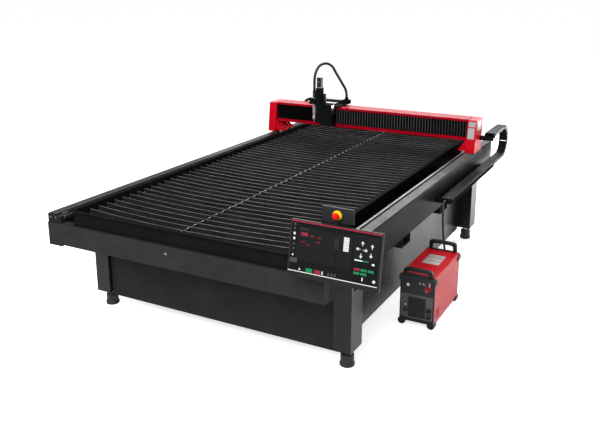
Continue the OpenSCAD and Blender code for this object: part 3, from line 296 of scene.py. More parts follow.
def mix_colour(tree, factor, first, second):
    mixed = add_node(tree, "ShaderNodeMix", data_type="RGBA")
    tree.links.new(factor, mixed.inputs["Factor"])
    for socket, value in ((mixed.inputs[6], first), (mixed.inputs[7], second)):
        if isinstance(value, tuple):
            socket.default_value = (*value, 1)
        else:
            tree.links.new(value, socket)
    return mixed.outputs[2]


def span(tree, value, low, high, start=0.0, stop=1.0):
    spread = set_inputs(add_node(tree, "ShaderNodeMapRange"), From_Min=start, From_Max=stop,
                        To_Min=low, To_Max=high)
    tree.links.new(value, spread.inputs["Value"])
    return spread.outputs["Result"]


def machine_finish(name, dark, light, rough, grain=400.0, bump=0.06, wear_and_highlight=None, edge_gain=3.0, edge=0.002,
                   dust=None, least_up=0.6, cloud=6.0, metallic=0.0, specular=0.3):
    material = bpy.data.materials.new(name)
    material.use_nodes = True
    tree = material.node_tree
    shader = tree.nodes["Principled BSDF"]
    shader.inputs["Metallic"].default_value = metallic
    shader.inputs["Specular IOR Level"].default_value = specular
    speckle = use_group(tree, fine_grain, Scale=grain, Cloud_Scale=cloud)
    edges = use_group(tree, soft_edges, Radius=edge, Gain=edge_gain)
    colour = mix_colour(tree, span(tree, speckle.outputs["Cloud"], 0.0, 1.0, 0.3, 0.7), dark, light)
    # Paler edges: partly wear, partly painted highlight.
    if wear_and_highlight:
        colour = mix_colour(tree, edges.outputs["Wear_Highlight"], colour, wear_and_highlight)
    # Tone on up-facing faces: real dust on some finishes, a painted sheen on others.
    if dust:
        layer = use_group(tree, settled_dust, Scale=9.0, Least_Up=least_up)
        colour = mix_colour(tree, layer.outputs["Mask"], colour, dust)
    roughness = span(tree, speckle.outputs["Cloud"], *rough, 0.3, 0.7)
    relief = set_inputs(add_node(tree, "ShaderNodeBump"), Strength=bump, Distance=0.001)
    tree.links.new(speckle.outputs["Speckle"], relief.inputs["Height"])
    tree.links.new(edges.outputs["Normal"], relief.inputs["Normal"])
    tree.links.new(colour, shader.inputs["Base Color"])
    tree.links.new(roughness, shader.inputs["Roughness"])
    tree.links.new(relief.outputs["Normal"], shader.inputs["Normal"])
    return material


print("finishes are built from", [group.name for group in (fine_grain, soft_edges, settled_dust)])

# %% [markdown]
# Some mouldings and coats change from one place to another: a dark fascia above a grey panel, or a tone that
# is darkened over part of a piece as painted shade. A second object for the other tone would leave a seam, so
# the tone is changed in the finish, by a mask on the object's own coordinates.

# %% Finishes that change along a piece


def object_axes(tree):
    parts = add_node(tree, "ShaderNodeSeparateXYZ")
    tree.links.new(add_node(tree, "ShaderNodeTexCoord").outputs["Object"], parts.inputs["Vector"])
    return parts.outputs


def both_masks(tree, first, second):
    product = add_node(tree, "ShaderNodeMath", operation="MULTIPLY")
    tree.links.new(first, product.inputs[0])
    tree.links.new(second, product.inputs[1])
    return product.outputs["Value"]


def recolour(material, mask, other):
    tree = material.node_tree
    base = tree.nodes["Principled BSDF"].inputs["Base Color"]
    own = base.links[0].from_socket
    tree.links.new(mix_colour(tree, mask, own, other), base)


def change_beyond(material, axis, level, other, soft=0.002, amounts=(0.0, 1.0)):
    tree = material.node_tree
    recolour(material, span(tree, object_axes(tree)[axis], *amounts, level - soft, level + soft), other)


def change_inside(material, low, high, inner, soft=0.001):
    tree = material.node_tree
    axes = object_axes(tree)
    masks = []
    for axis, label in ((0, "X"), (2, "Z")):
        masks.append(span(tree, axes[label], 0.0, 1.0, low[axis] - soft, low[axis] + soft))
        masks.append(span(tree, axes[label], 1.0, 0.0, high[axis] - soft, high[axis] + soft))
    inside = masks[0]
    for mask in masks[1:]:
        inside = both_masks(tree, inside, mask)
    recolour(material, inside, inner)


print("tones can change beyond a level or inside a window")

# %% [markdown]
# The frame is powder coated in satin black, which has a fine orange-peel surface. Skirts and legs have a
# glossier batch of it, made darker as painted shade, and the pan and the brackets a matt one. The side beams'
# up-facing faces get a pale painted sheen, toned down over the left half as painted shade. The towers and the
# power source are sprayed signal red, and the gantry's covers get a darker copy of that red as painted shade.
# Coats of one colour share their grain and their paler edges, partly wear and partly painted highlight, so one
# function per colour makes them.

# %% Coats


def black_coat(name, dark, light, rough, specular, wear_and_highlight=(0.07, 0.07, 0.074), **more):
    return machine_finish(name, dark, light, rough, grain=900.0, bump=0.06, wear_and_highlight=wear_and_highlight, edge_gain=1.6,
                          specular=specular, **more)


def red_coat(name, dark, light, specular, wear_and_highlight=(0.6, 0.02, 0.03)):
    return machine_finish(name, dark, light, (0.34, 0.44), grain=700.0, bump=0.03, wear_and_highlight=wear_and_highlight, edge_gain=1.6,
                          specular=specular)


powder_coat = black_coat("black_powder_coat", (0.021, 0.021, 0.022), (0.029, 0.029, 0.0303), (0.26, 0.36),
                         0.012)
# The skirts' and legs' darker tone is painted shade under the beams; their higher gloss is their own.
shaded_skirt_coat = black_coat("shaded_skirt_coat", (0.008, 0.008, 0.0084), (0.012, 0.012, 0.0126), (0.24, 0.34), 0.16)
# The pale tone on the side beams' up-facing faces is a painted sheen.
beam_coat_painted_sheen = black_coat("beam_coat_painted_sheen", (0.011, 0.011, 0.0115), (0.015, 0.015, 0.0155), (0.26, 0.36), 0.01,
                       dust=(0.19, 0.186, 0.182), least_up=0.7)
# Over the left half the sheen is toned down, a painted shade.
change_beyond(beam_coat_painted_sheen, "X", table_origin.x, (0.017, 0.017, 0.018), soft=0.2, amounts=(0.72, 0.0))
matt_black = black_coat("matt_black", (0.0065, 0.0065, 0.0067), (0.0095, 0.0095, 0.0098), (0.28, 0.4), 0.0005,
                        wear_and_highlight=(0.04, 0.04, 0.042))
red_paint = red_coat("red_paint", (0.48, 0.0015, 0.009), (0.55, 0.0022, 0.012), 0.045)
# The covers' darker red is a painted shade of the gantry's red.
shaded_cover_red = red_coat("shaded_cover_red", (0.32, 0.0012, 0.009), (0.38, 0.0018, 0.0115), 0.03, wear_and_highlight=(0.4, 0.02, 0.03))
case_red = red_coat("case_red", (0.46, 0.0009, 0.006), (0.53, 0.0014, 0.008), 0.16)
print("coats", [coat.name for coat in (powder_coat, shaded_skirt_coat, beam_coat_painted_sheen, matt_black)])
print("reds", [coat.name for coat in (red_paint, shaded_cover_red, case_red)])

# %% [markdown]
# The gantry's rails are ground steel, and the table's are dull with oil and dust. Racks and pinions are oiled,
# with bright tips. Steel mirrors its surroundings, so it gets a metallic shader. The torch has a copper tip
# and a plated sleeve. The sleeve's shader hardly mirrors, so pale pink patches in its colour stand in for its
# reflections, a painted reflection.

# %% Metals
rail_steel = machine_finish("rail_steel", (0.52, 0.53, 0.55), (0.66, 0.67, 0.69), (0.2, 0.34),
                            grain=1500.0, bump=0.03, metallic=1.0, cloud=20.0)
side_rail_steel = machine_finish("side_rail_steel", (0.06, 0.06, 0.063), (0.12, 0.12, 0.125), (0.42, 0.55),
                                 grain=1500.0, bump=0.03, metallic=1.0, cloud=20.0)
gear_steel = machine_finish("gear_steel", (0.12, 0.12, 0.125), (0.24, 0.24, 0.25), (0.32, 0.5), grain=900.0,
                            bump=0.05, metallic=1.0, wear_and_highlight=(0.5, 0.5, 0.52), edge=0.0008, cloud=14.0)
# The sleeve's pale pink patches are a painted reflection.
torch_sleeve_painted_reflection = machine_finish("torch_sleeve_painted_reflection", (0.2, 0.155, 0.15), (0.5, 0.41, 0.4), (0.3, 0.45),
                              grain=500.0, bump=0.06, wear_and_highlight=(0.3, 0.24, 0.23), edge=0.0012, cloud=45.0)
torch_copper = machine_finish("torch_copper", (0.42, 0.3, 0.27), (0.72, 0.6, 0.56), (0.28, 0.45),
                              grain=300.0, bump=0.05, metallic=0.6, edge=0.0006, cloud=60.0)
print("metals", [metal.name for metal in (rail_steel, side_rail_steel, gear_steel, torch_sleeve_painted_reflection, torch_copper)])

# %% [markdown]
# Mouldings, rubber and coated cloth have no metal in them. They differ by their grain, their roughness and how
# strongly they mirror. The bellows' cloth is almost black, and the fronts of its folds take a painted highlight
# in grey.

# %% Plastics, rubber and cloth
black_plastic = machine_finish("black_plastic", (0.008, 0.008, 0.009), (0.013, 0.013, 0.014), (0.4, 0.54),
                               grain=1200.0, bump=0.1, wear_and_highlight=(0.04, 0.04, 0.042), edge=0.0015, specular=0.15)
foot_rubber = machine_finish("foot_rubber", (0.007, 0.007, 0.0075), (0.012, 0.012, 0.0125), (0.5, 0.66),
                             grain=800.0, bump=0.14, dust=(0.035, 0.034, 0.032))
lead_rubber = machine_finish("lead_rubber", (0.008, 0.008, 0.009), (0.013, 0.013, 0.014), (0.36, 0.5),
                             grain=600.0, bump=0.08, edge=0.0005)
grey_panel = machine_finish("grey_panel", (0.075, 0.075, 0.073), (0.095, 0.095, 0.093), (0.46, 0.6),
                            grain=1400.0, bump=0.12, wear_and_highlight=(0.1, 0.1, 0.1), edge=0.0012)
screen_plastic = machine_finish("screen_plastic", (0.012, 0.0123, 0.0126), (0.017, 0.0173, 0.0176), (0.36, 0.5),
                                grain=1500.0, bump=0.1, wear_and_highlight=(0.06, 0.06, 0.063), edge=0.0012, specular=0.06)
screen_glass = machine_finish("screen_glass", (0.005, 0.0055, 0.0055), (0.007, 0.0075, 0.0075), (0.1, 0.16),
                              grain=60.0, bump=0.002, edge=0.0006, specular=0.06)
stop_yellow = machine_finish("stop_yellow", (0.9, 0.62, 0.012), (0.97, 0.7, 0.02), (0.38, 0.5),
                             grain=900.0, bump=0.05, edge=0.001, specular=0.1)
stop_red = machine_finish("stop_red", (0.78, 0.004, 0.005), (0.88, 0.006, 0.007), (0.3, 0.4),
                          grain=600.0, bump=0.02, edge=0.002, specular=0.1)
knob_red = machine_finish("knob_red", (0.24, 0.003, 0.008), (0.3, 0.004, 0.01), (0.25, 0.36),
                          grain=600.0, bump=0.02, edge=0.001)
bellows_cloth = machine_finish("bellows_cloth", (0.0035, 0.0035, 0.0038), (0.006, 0.006, 0.0064), (0.5, 0.66),
                               grain=1600.0, bump=0.2, edge=0.0005, specular=0.04)
fold_highlight = machine_finish("bellows_fold_highlight", (0.13, 0.13, 0.133), (0.18, 0.18, 0.184), (0.4, 0.55),
                           grain=900.0, bump=0.1, edge=0.0005)
print("mouldings", [finish.name for finish in (black_plastic, grey_panel, screen_plastic, knob_red)])
print("soft finishes", [finish.name for finish in (foot_rubber, lead_rubber, bellows_cloth, fold_highlight)])

# %% [markdown]
# A slat needs its own rule: its flanks are dark with scale and its narrow top face gets a painted highlight,
# broken up by noise. The face's own direction tells the two apart. The divider below the slats gets a painted
# highlight only behind each slat, so its mask repeats with the slats' pitch.

# %% Slat steel
SLAT_PITCH = 76.2


def dash_mask(tree, start, pitch, first, soft=0.06):
    steps = add_node(tree, "ShaderNodeMath", operation="MULTIPLY_ADD")
    tree.links.new(object_axes(tree)["Y"], steps.inputs[0])
    steps.inputs[1].default_value = 1 / pitch
    steps.inputs[2].default_value = -start / pitch
    within = add_node(tree, "ShaderNodeMath", operation="FRACT")
    tree.links.new(steps.outputs["Value"], within.inputs[0])
    return span(tree, within.outputs["Value"], 0.0, 1.0, first - soft, first + soft)


def slat_finish(name, highlight_colour, least, most, dashes=None):
    material = machine_finish(name, (0.01, 0.01, 0.0105), (0.022, 0.022, 0.0233), (0.4, 0.55),
                              grain=260.0, bump=0.1, edge=0.0008, cloud=5.0, specular=0.1)
    tree = material.node_tree
    # The pale tone on the up-facing faces is a painted highlight.
    top = use_group(tree, settled_dust, Scale=3.5, Least_Up=0.85)
    highlight_mask = span(tree, top.outputs["Mask"], 0.0, 1.0, least, most)
    if dashes:
        highlight_mask = both_masks(tree, highlight_mask, dash_mask(tree, *dashes))
    recolour(material, highlight_mask, highlight_colour)
    return material


# Both finishes paint a highlight: on the slats' top faces, and on the divider behind each slat.
slat_steel = slat_finish("slat_steel", (0.16, 0.16, 0.165), 0.25, 0.66)
first_slat_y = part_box("cutting_slats")[0][1]
highlit_support_steel = slat_finish("highlit_support_steel", (0.45, 0.44, 0.42), 0.2, 0.45,
                            dashes=(first_slat_y, SLAT_PITCH * MM, 0.64))
print("first slat at", round(first_slat_y, 4))

# %% [markdown]
# The record names one finish for each CAD node, so a table from finish name to material dresses them all. A
# second table gives some nodes a finish of their own. A node's mesh is left alone: only the material in its
# slot changes.

# %% Dress the CAD nodes
finishes = {
    "black_powder_coat": powder_coat, "red_paint": red_paint, "slat_steel": slat_steel,
    "rail_steel": rail_steel, "gear_steel": gear_steel, "black_plastic": black_plastic,
    "bellows_cloth": bellows_cloth, "lead_rubber": lead_rubber, "foot_rubber": foot_rubber,
    "screen_plastic": screen_plastic, "screen_glass": screen_glass, "stop_yellow": stop_yellow,
    "stop_red": stop_red, "torch_body": torch_sleeve_painted_reflection, "torch_copper": torch_copper, "grey_panel": grey_panel}
# The screen post takes the darkest black, which dims its lit top face as painted shade.
own_finishes = {
    "water_pan": matt_black, "carriage_plate": matt_black, "z_column": matt_black, "torch_holder": matt_black,
    "chain_tray": matt_black, "chain_arm": matt_black, "beam_chain_tray": matt_black, "screen_post": matt_black,
    "side_skirts": shaded_skirt_coat, "legs": shaded_skirt_coat, "side_beams": beam_coat_painted_sheen, "side_rails": side_rail_steel,
    "slat_supports": highlit_support_steel, "gantry_covers": shaded_cover_red, "power_case": case_red, "power_knob": knob_red}
for part in frame["record"]["subparts"]:
    finish = own_finishes.get(part["node"], finishes[part["material_slot"]])
    for material_slot in frame["nodes"][part["node"]].material_slots:
        material_slot.material = finish
for lead in (torch_lead, power_lead):
    lead.data.materials.append(lead_rubber)

# %% [markdown]
# Every new piece ends the same way: its doubles are merged, its faces turned outwards, and its mesh is put in
# an object at the origin. `riding_piece` then sets a piece on a body.

# %% Finishing a piece


def new_piece(name, bm, materials, crease=0.6):
    bmesh.ops.remove_doubles(bm, verts=bm.verts, dist=1e-6)
    bmesh.ops.recalc_face_normals(bm, faces=bm.faces)
    mesh = bpy.data.meshes.new(name)
    bm.to_mesh(mesh)
    bm.free()
    mesh.shade_smooth()
    mesh.set_sharp_from_angle(angle=crease)
    for material in materials:
        mesh.materials.append(material)
    piece = bpy.data.objects.new(name, mesh)
    bpy.context.collection.objects.link(piece)
    return piece


def riding_piece(name, bm, materials, body):
    piece = new_piece(name, bm, materials)
    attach(piece, body)
    print(name, "rides on", body, "with", len(piece.data.polygons), "faces")


def raised_verts(result):
    return [v for v in result["geom"] if isinstance(v, bmesh.types.BMVert)]


print("pieces join", len(frame["nodes"]), "CAD nodes")

# %% [markdown]
# A cable chain is a row of moulded links. A link is two side plates, drawn as an eight-cornered outline and
# extruded, tied by a crossbar above and below, with a raised round pin on each side. Light shows between the
# crossbars. Copies of that one mesh are set out by matrices, so hundreds of links stay light.

# %% One chain link
chain_plastic = machine_finish("chain_plastic", (0.005, 0.005, 0.0055), (0.009, 0.009, 0.0097), (0.38, 0.52),
                               grain=1000.0, bump=0.08, wear_and_highlight=(0.02, 0.02, 0.0212), edge=0.002, specular=0.04)
mid_grey = machine_finish("mid_grey", (0.12, 0.12, 0.125), (0.2, 0.2, 0.205), (0.35, 0.5),
                          grain=900.0, edge=0.0005)


def side_plate(bm, u, w, cut, inner, outer):
    outline = [(-u, cut - w), (cut - u, -w), (u - cut, -w), (u, cut - w),
               (u, w - cut), (u - cut, w), (cut - u, w), (-u, w - cut)]
    face = bm.faces.new([bm.verts.new((a, inner, b)) for a, b in outline])
    grown = bmesh.ops.extrude_face_region(bm, geom=[face])
    bmesh.ops.translate(bm, verts=raised_verts(grown), vec=(0, outer - inner, 0))


def chain_pin(bm, u, side, sign, radius, proud):
    turned = Matrix.Translation((-u, sign * side, 0)) @ Matrix.Rotation(-sign * math.pi / 2, 4, "X")
    disc = bmesh.ops.create_circle(bm, cap_ends=True, segments=8, radius=radius, matrix=turned)
    caps = list({f for v in disc["verts"] for f in v.link_faces})
    tip = raised_verts(bmesh.ops.extrude_face_region(bm, geom=caps))
    bmesh.ops.translate(bm, verts=tip, vec=(0, sign * proud, 0))
    for f in {f for v in tip + disc["verts"] for f in v.link_faces}:
        f.material_index = 1


def link_mesh(name, pitch, height, width):
    bm = bmesh.new()
    u = pitch / 2 * MM
    side = width / 2 * MM
    wall = width * 0.13 * MM
    hollow = width * 0.02 * MM
    rim = height * 0.12 * MM
    corner = height * 0.27 * MM
    bar_z = height * 0.41 * MM
    for sign in (-1, 1):
        side_plate(bm, u, height / 2 * MM, corner, sign * (side - wall), sign * side)
    bmesh.ops.recalc_face_normals(bm, faces=bm.faces)
    cheeks = [f for f in bm.faces if f.normal.y * f.calc_center_median().y > 0.9 * side]
    bmesh.ops.inset_individual(bm, faces=cheeks, thickness=rim, depth=-hollow)
    bar = Matrix.Diagonal((pitch * 0.78 * MM, 2 * (side - wall), height * 0.14 * MM, 1))
    for sign in (-1, 1):
        bmesh.ops.create_cube(bm, size=1, matrix=Matrix.Translation((0, 0, sign * bar_z)) @ bar)
    for sign in (-1, 1):
        chain_pin(bm, u, side, sign, height * 0.15 * MM, width * 0.012 * MM)
    bmesh.ops.recalc_face_normals(bm, faces=bm.faces)
    mesh = bpy.data.meshes.new(name)
    bm.to_mesh(mesh)
    bm.free()
    return mesh


TABLE_LINK = 46
BEAM_LINK = 30
table_link = link_mesh("table_link", TABLE_LINK, 36, 72)
beam_link = link_mesh("beam_link", BEAM_LINK, 24, 50)
print("faces in a link", len(table_link.polygons))

# %% [markdown]
# When the gantry moves, the bend of its chain rolls at half its speed. Each straight run is made of groups of
# whole links that overlap. The first group rides on the first body and the last on the second, and the groups
# between are fixed where they are laid. `ramp_place` tells where on a smooth ramp a share lies. Each group is a
# little slimmer than the last, so that no two groups share a face.


def ramp_place(weight):
    return 0.5 - math.sin(math.asin(1 - 2 * weight) / 3)


def share_travel(piece, first, second, weight, centre, axis):
    if weight == 0:
        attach(piece, first)
    elif weight == 1:
        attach(piece, second)
    else:
        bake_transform(piece)


print("half a share lies at", ramp_place(0.5), "of the ramp")

# %% Setting out links


def place_links(name, link, places, slimmer=0.0):
    bm = bmesh.new()
    for place in places:
        before = len(bm.verts)
        bm.from_mesh(link)
        bm.verts.ensure_lookup_table()
        added = bm.verts[before:]
        if slimmer:
            bmesh.ops.scale(bm, verts=added, vec=(1, 1 - slimmer, 1 - slimmer))
        bmesh.ops.transform(bm, verts=added, matrix=place)
    return new_piece(name, bm, [chain_plastic, mid_grey], 0.5)


def lay_run(name, node, link, groups, place, slimmer, bodies, centre, axis):
    for g, links in enumerate(groups):
        run = place_links(f"{name}_{g}", link, [place(k) for k in links], g * slimmer)
        share_travel(run, *bodies, g / (len(groups) - 1), centre, axis)
        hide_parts(node)
    print(name, len(groups), "groups of links")


def lay_bend(chain, link, place, lower, upper):
    for half, links in (("low", lower), ("high", upper)):
        bend = place_links(f"{chain}_chain_bend_{half}", link, [place(k) for k in links])
        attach(bend, f"{chain}_loop_{half}")
        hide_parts(f"{chain}_chain_loop_{half}")
    print(chain, "bend", len(lower) + len(upper), "links")


def bend_middle(k, step, radius):
    ends = [(radius * math.sin(j * step), radius * (1 - math.cos(j * step))) for j in (k, k + 1)]
    return (ends[0][0] + ends[1][0]) / 2, (ends[0][1] + ends[1][1]) / 2


# %% [markdown]
# The table's chain lies in its tray, turns over at the rear and comes back to the arm on the gantry. The loop
# is nine links on a round path. Its lower half turns with one body and its upper half with another.

# %% Table chain
TABLE_CHAIN_X = 1079
TABLE_TRAY_Y = 1862
TABLE_ARM_Y = 3058
TABLE_BEND_Y = 3472
TABLE_LOW_Z = 686
TABLE_R = 132.452
TABLE_HIGH_Z = TABLE_LOW_Z + 2 * TABLE_R
TABLE_STEP = math.radians(20)
TABLE_LOW_LINKS = 35
SIDEWAYS = Vector((1, 0, 0))
ALONG_Y = Matrix.Rotation(math.pi / 2, 4, "Z")


def table_place(y, z, turn=0.0):
    return Matrix.Translation(row(TABLE_CHAIN_X, y, z)) @ Matrix.Rotation(turn, 4, "X") @ ALONG_Y


def table_low_place(k):
    return table_place(TABLE_TRAY_Y + TABLE_LINK * (k + 0.5), TABLE_LOW_Z)


def table_high_place(k):
    return table_place(TABLE_ARM_Y + TABLE_LINK * (k + 0.5), TABLE_HIGH_Z)


def table_bend_place(k):
    along, up = bend_middle(k, TABLE_STEP, TABLE_R)
    return table_place(TABLE_BEND_Y + along, TABLE_LOW_Z + up, (k + 0.5) * TABLE_STEP)


table_centre = row(TABLE_CHAIN_X, 0, 800)
table_low_groups = [range(7 * g, min(7 * g + 8, TABLE_LOW_LINKS)) for g in range(5)]
table_high_groups = [range(first, first + 5) for first in (0, 1, 1, 2, 2, 3, 3, 4)]
lay_run("table_chain_low", "table_chain_lower_run", table_link, table_low_groups, table_low_place, 0.008,
        ("table", "table_loop_low"), table_centre, SIDEWAYS)
lay_run("table_chain_high", "table_chain_upper_run", table_link, table_high_groups, table_high_place, 0.006,
        ("gantry", "table_loop_high"), table_centre, SIDEWAYS)
lay_bend("table", table_link, table_bend_place, range(5), range(5, 9))

# %% [markdown]
# A smaller chain behind the beam carries the torch's cables in the same way, with its bend towards the left.
# Only its measures and its bodies differ, so the same functions lay it.

# %% Beam chain
BEAM_CHAIN_Y = 3110
BEAM_TRAY_X = 120
BEAM_CARRIAGE_X = -360
BEAM_BEND_X = -690
BEAM_LOW_Z = 988.181
BEAM_R = 67.409
BEAM_HIGH_Z = BEAM_LOW_Z + 2 * BEAM_R
BEAM_STEP = math.pi / 7
ACROSS = Vector((0, 1, 0))


def beam_place(x, z, turn=0.0):
    return Matrix.Translation(row(x, BEAM_CHAIN_Y, z)) @ Matrix.Rotation(turn, 4, "Y")


def beam_low_place(k):
    return beam_place(BEAM_TRAY_X - BEAM_LINK * (k + 0.5), BEAM_LOW_Z)


def beam_high_place(k):
    return beam_place(BEAM_CARRIAGE_X - BEAM_LINK * (k + 0.5), BEAM_HIGH_Z)


def beam_bend_place(k):
    along, up = bend_middle(k, BEAM_STEP, BEAM_R)
    return beam_place(BEAM_BEND_X - along, BEAM_LOW_Z + up, (k + 0.5) * BEAM_STEP)


beam_centre = row(0, BEAM_CHAIN_Y, 1050)
beam_low_groups = [range(6 * g, 6 * g + 9) for g in range(4)]
beam_high_groups = [range(0, 7), range(1, 8), range(2, 10), range(4, 11)]
lay_run("beam_chain_low", "beam_chain_lower_run", beam_link, beam_low_groups, beam_low_place, 0.01,
        ("gantry", "beam_loop_low"), beam_centre, ACROSS)
lay_run("beam_chain_high", "beam_chain_upper_run", beam_link, beam_high_groups, beam_high_place, 0.01,
        ("carriage", "beam_loop_high"), beam_centre, ACROSS)
lay_bend("beam", beam_link, beam_bend_place, range(4), range(4, 7))

# %% [markdown]
# Bellows keep dust off the beam's rails. They are coated cloth, pressed into pleats and held by stiff ribs. A
# zigzag line in plan is extruded upwards, its folds are bevelled and the wall gets its thickness. Each bellows
# is laid in four stretches, which are fixed where they are laid.

# %% Bellows
FOLD_FRONT = 2911
FOLD_BACK = 2931
FOLD_LOW = 947
FOLD_HIGH = 1077
FOLD_ROUND = 1.6
FOLD_TIP = 3.0
CLOTH_THICK = 0.9
BELLOWS_PIECES = 4


def pleated_strip(x0, x1, folds):
    bm = bmesh.new()
    corners = []
    for i in range(2 * folds + 1):
        y = FOLD_FRONT if i % 2 else FOLD_BACK
        corners.append(bm.verts.new(row(x0 + (x1 - x0) * i / (2 * folds), y, FOLD_LOW)))
    line = [bm.edges.new(pair) for pair in zip(corners, corners[1:])]
    risen = bmesh.ops.extrude_edge_only(bm, edges=line)
    bmesh.ops.translate(bm, verts=raised_verts(risen), vec=(0, 0, (FOLD_HIGH - FOLD_LOW) * MM))
    bm.normal_update()
    creases = [e for e in bm.edges if len(e.link_faces) == 2]
    bmesh.ops.bevel(bm, geom=creases, offset=FOLD_ROUND * MM, offset_type="OFFSET", segments=2, profile=0.5,
                    affect="EDGES", material=-1)
    bmesh.ops.recalc_face_normals(bm, faces=bm.faces)
    bmesh.ops.solidify(bm, geom=bm.faces, thickness=CLOTH_THICK * MM)
    # Faces at the fold fronts take the second finish, a painted highlight where it is the grey one.
    front = row(0, FOLD_FRONT + FOLD_TIP, 0).y
    for f in bm.faces:
        f.material_index = 1 if f.calc_center_median().y < front else 0
    return bm


def hang_bellows(side, fixed_x, carriage_x, folds_each, tip_finish):
    width = carriage_x - fixed_x
    for i in range(BELLOWS_PIECES):
        x0 = fixed_x + width * i / BELLOWS_PIECES
        x1 = fixed_x + width * (i + 1) / BELLOWS_PIECES
        cloth = new_piece(f"{side}_bellows_{i}", pleated_strip(x0, x1, folds_each),
                          [bellows_cloth, tip_finish])
        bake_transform(cloth)
        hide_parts(f"{side}_bellows")
    print(side, "bellows", BELLOWS_PIECES * folds_each, "pleats")


hang_bellows("left", -954, -471, 9, bellows_cloth)
# The right bellows' fold fronts take a painted highlight.
hang_bellows("right", 924, -329, 12, fold_highlight)

# %% [markdown]
# Small fittings come from three helpers. `turned_part` spins a half outline about an axis, as a lathe does.
# `soft_block` is a box with rounded edges, like a moulding, given by its ranges in shop measures. `flat_shape`
# raises an outline into a thin plate. Each adds its part to the piece being made, in one of its finishes.

# %% Fittings
FRONT = Matrix.Rotation(math.pi / 2, 4, "X")
BACK = Matrix.Rotation(-math.pi / 2, 4, "X")
UP = Matrix.Identity(4)


def at(x, y, z, turn=UP):
    return Matrix.Translation(row(x, y, z)) @ turn


def add_part(bm, part, place, index):
    for face in part.faces:
        face.material_index = index
    bmesh.ops.transform(part, verts=part.verts, matrix=place)
    mesh = bpy.data.meshes.new("fitting")
    part.to_mesh(mesh)
    part.free()
    bm.from_mesh(mesh)
    bpy.data.meshes.remove(mesh)


def turned_part(bm, outline, place, index=0, steps=20):
    part = bmesh.new()
    half = [part.verts.new((radius * MM, 0, height * MM)) for radius, height in outline]
    edges = [part.edges.new(pair) for pair in zip(half, half[1:])]
    bmesh.ops.spin(part, geom=half + edges, axis=(0, 0, 1), cent=(0, 0, 0), angle=2 * math.pi, steps=steps,
                   use_merge=True)
    bmesh.ops.remove_doubles(part, verts=part.verts, dist=1e-7)
    add_part(bm, part, place, index)


def soft_block(bm, x, y, z, index=0, round_off=1.0):
    part = bmesh.new()
    size = Matrix.Diagonal(((x[1] - x[0]) * MM, (y[1] - y[0]) * MM, (z[1] - z[0]) * MM, 1))
    bmesh.ops.create_cube(part, size=1, matrix=size)
    bmesh.ops.bevel(part, geom=part.edges, offset=round_off * MM, offset_type="OFFSET", segments=2, profile=0.5,
                    affect="EDGES", material=-1)
    add_part(bm, part, Matrix.Translation(row(sum(x) / 2, sum(y) / 2, sum(z) / 2)), index)


def flat_shape(bm, outline, thick, place, index=0):
    part = bmesh.new()
    face = part.faces.new([part.verts.new((x * MM, 0, z * MM)) for x, z in outline])
    raised = bmesh.ops.extrude_face_region(part, geom=[face])
    bmesh.ops.translate(part, verts=raised_verts(raised), vec=(0, -thick * MM, 0))
    bmesh.ops.recalc_face_normals(part, faces=part.faces)
    add_part(bm, part, place, index)


pale_plate = machine_finish("pale_plate", (0.36, 0.35, 0.34), (0.44, 0.43, 0.42), (0.4, 0.55),
                            grain=900.0, edge=0.0004)
clean_white = machine_finish("clean_white", (0.68, 0.68, 0.67), (0.76, 0.76, 0.75), (0.3, 0.45),
                             grain=900.0, edge=0.0004)
print("fittings in", pale_plate.name, "and", clean_white.name)

# %% [markdown]
# The control screen shows a plain dark working page: a panel, a column of cells, arrow keys and colour keys.
# On the real screen it is light from the glass. Here each cell is a thin plate just in front of the glass that
# glows a little, so it stays sharp at any distance and turns with the screen. A place on the page is given as
# a share of the glass's width and height.

# %% Page finishes and marks
SCREEN_TILT = math.radians(-10)
GLASS_FRONT = -63.0
GLASS_LEFT = -247.5
GLASS_W = 495.0
GLASS_TOP = 139.0
GLASS_H = 260.0
PANEL_THICK = 0.2
KEY_THICK = 0.3
CELL_THICK = 0.4
MARK_THICK = 0.6
screen_place = at(1089.5, -12, 921, Matrix.Rotation(SCREEN_TILT, 4, "X"))
glass_place = screen_place @ Matrix.Translation((0, GLASS_FRONT * MM, 0))


def lit_finish(name, colour, strength):
    material = machine_finish(name, colour, tuple(1.1 * c for c in colour), (0.3, 0.4), grain=900.0, bump=0.01,
                              edge=0.0003, specular=0.05)
    shader = material.node_tree.nodes["Principled BSDF"]
    shader.inputs["Emission Color"].default_value = (*colour, 1)
    shader.inputs["Emission Strength"].default_value = strength
    return material


PAGE_GREY, PAGE_WHITE, PAGE_RED, PAGE_GREEN, PAGE_FAINT, PAGE_DIM = range(6)
page_finishes = [
    lit_finish("page_grey", (0.008, 0.0082, 0.0084), 0.1),
    lit_finish("page_white", (0.5, 0.51, 0.51), 0.25),
    lit_finish("page_red", (0.2, 0.016, 0.03), 0.3),
    lit_finish("page_green", (0.012, 0.14, 0.05), 0.3),
    lit_finish("page_faint", (0.045, 0.045, 0.045), 0.1),
    lit_finish("page_dim_red", (0.085, 0.011, 0.018), 0.2)]


def glass_point(u, v):
    return GLASS_LEFT + GLASS_W * u, GLASS_TOP - GLASS_H * v


def page_cell(bm, index, u0, v0, u1, v1, thick=CELL_THICK):
    flat_shape(bm, [glass_point(u0, v0), glass_point(u1, v0), glass_point(u1, v1), glass_point(u0, v1)], thick,
               glass_place, index)


def page_spot(u, v):
    x, z = glass_point(u, v)
    return glass_place @ Matrix.Translation((x * MM, 0, z * MM))


def page_arrow(bm, u, v, quarter_turns):
    outline = [(-2, -12), (2, -12), (2, 0), (9, 0), (0, 12), (-9, 0), (-2, 0)]
    turned = Matrix.Rotation(quarter_turns * math.pi / 2, 4, "Y")
    flat_shape(bm, outline, MARK_THICK, page_spot(u, v) @ turned, PAGE_WHITE)


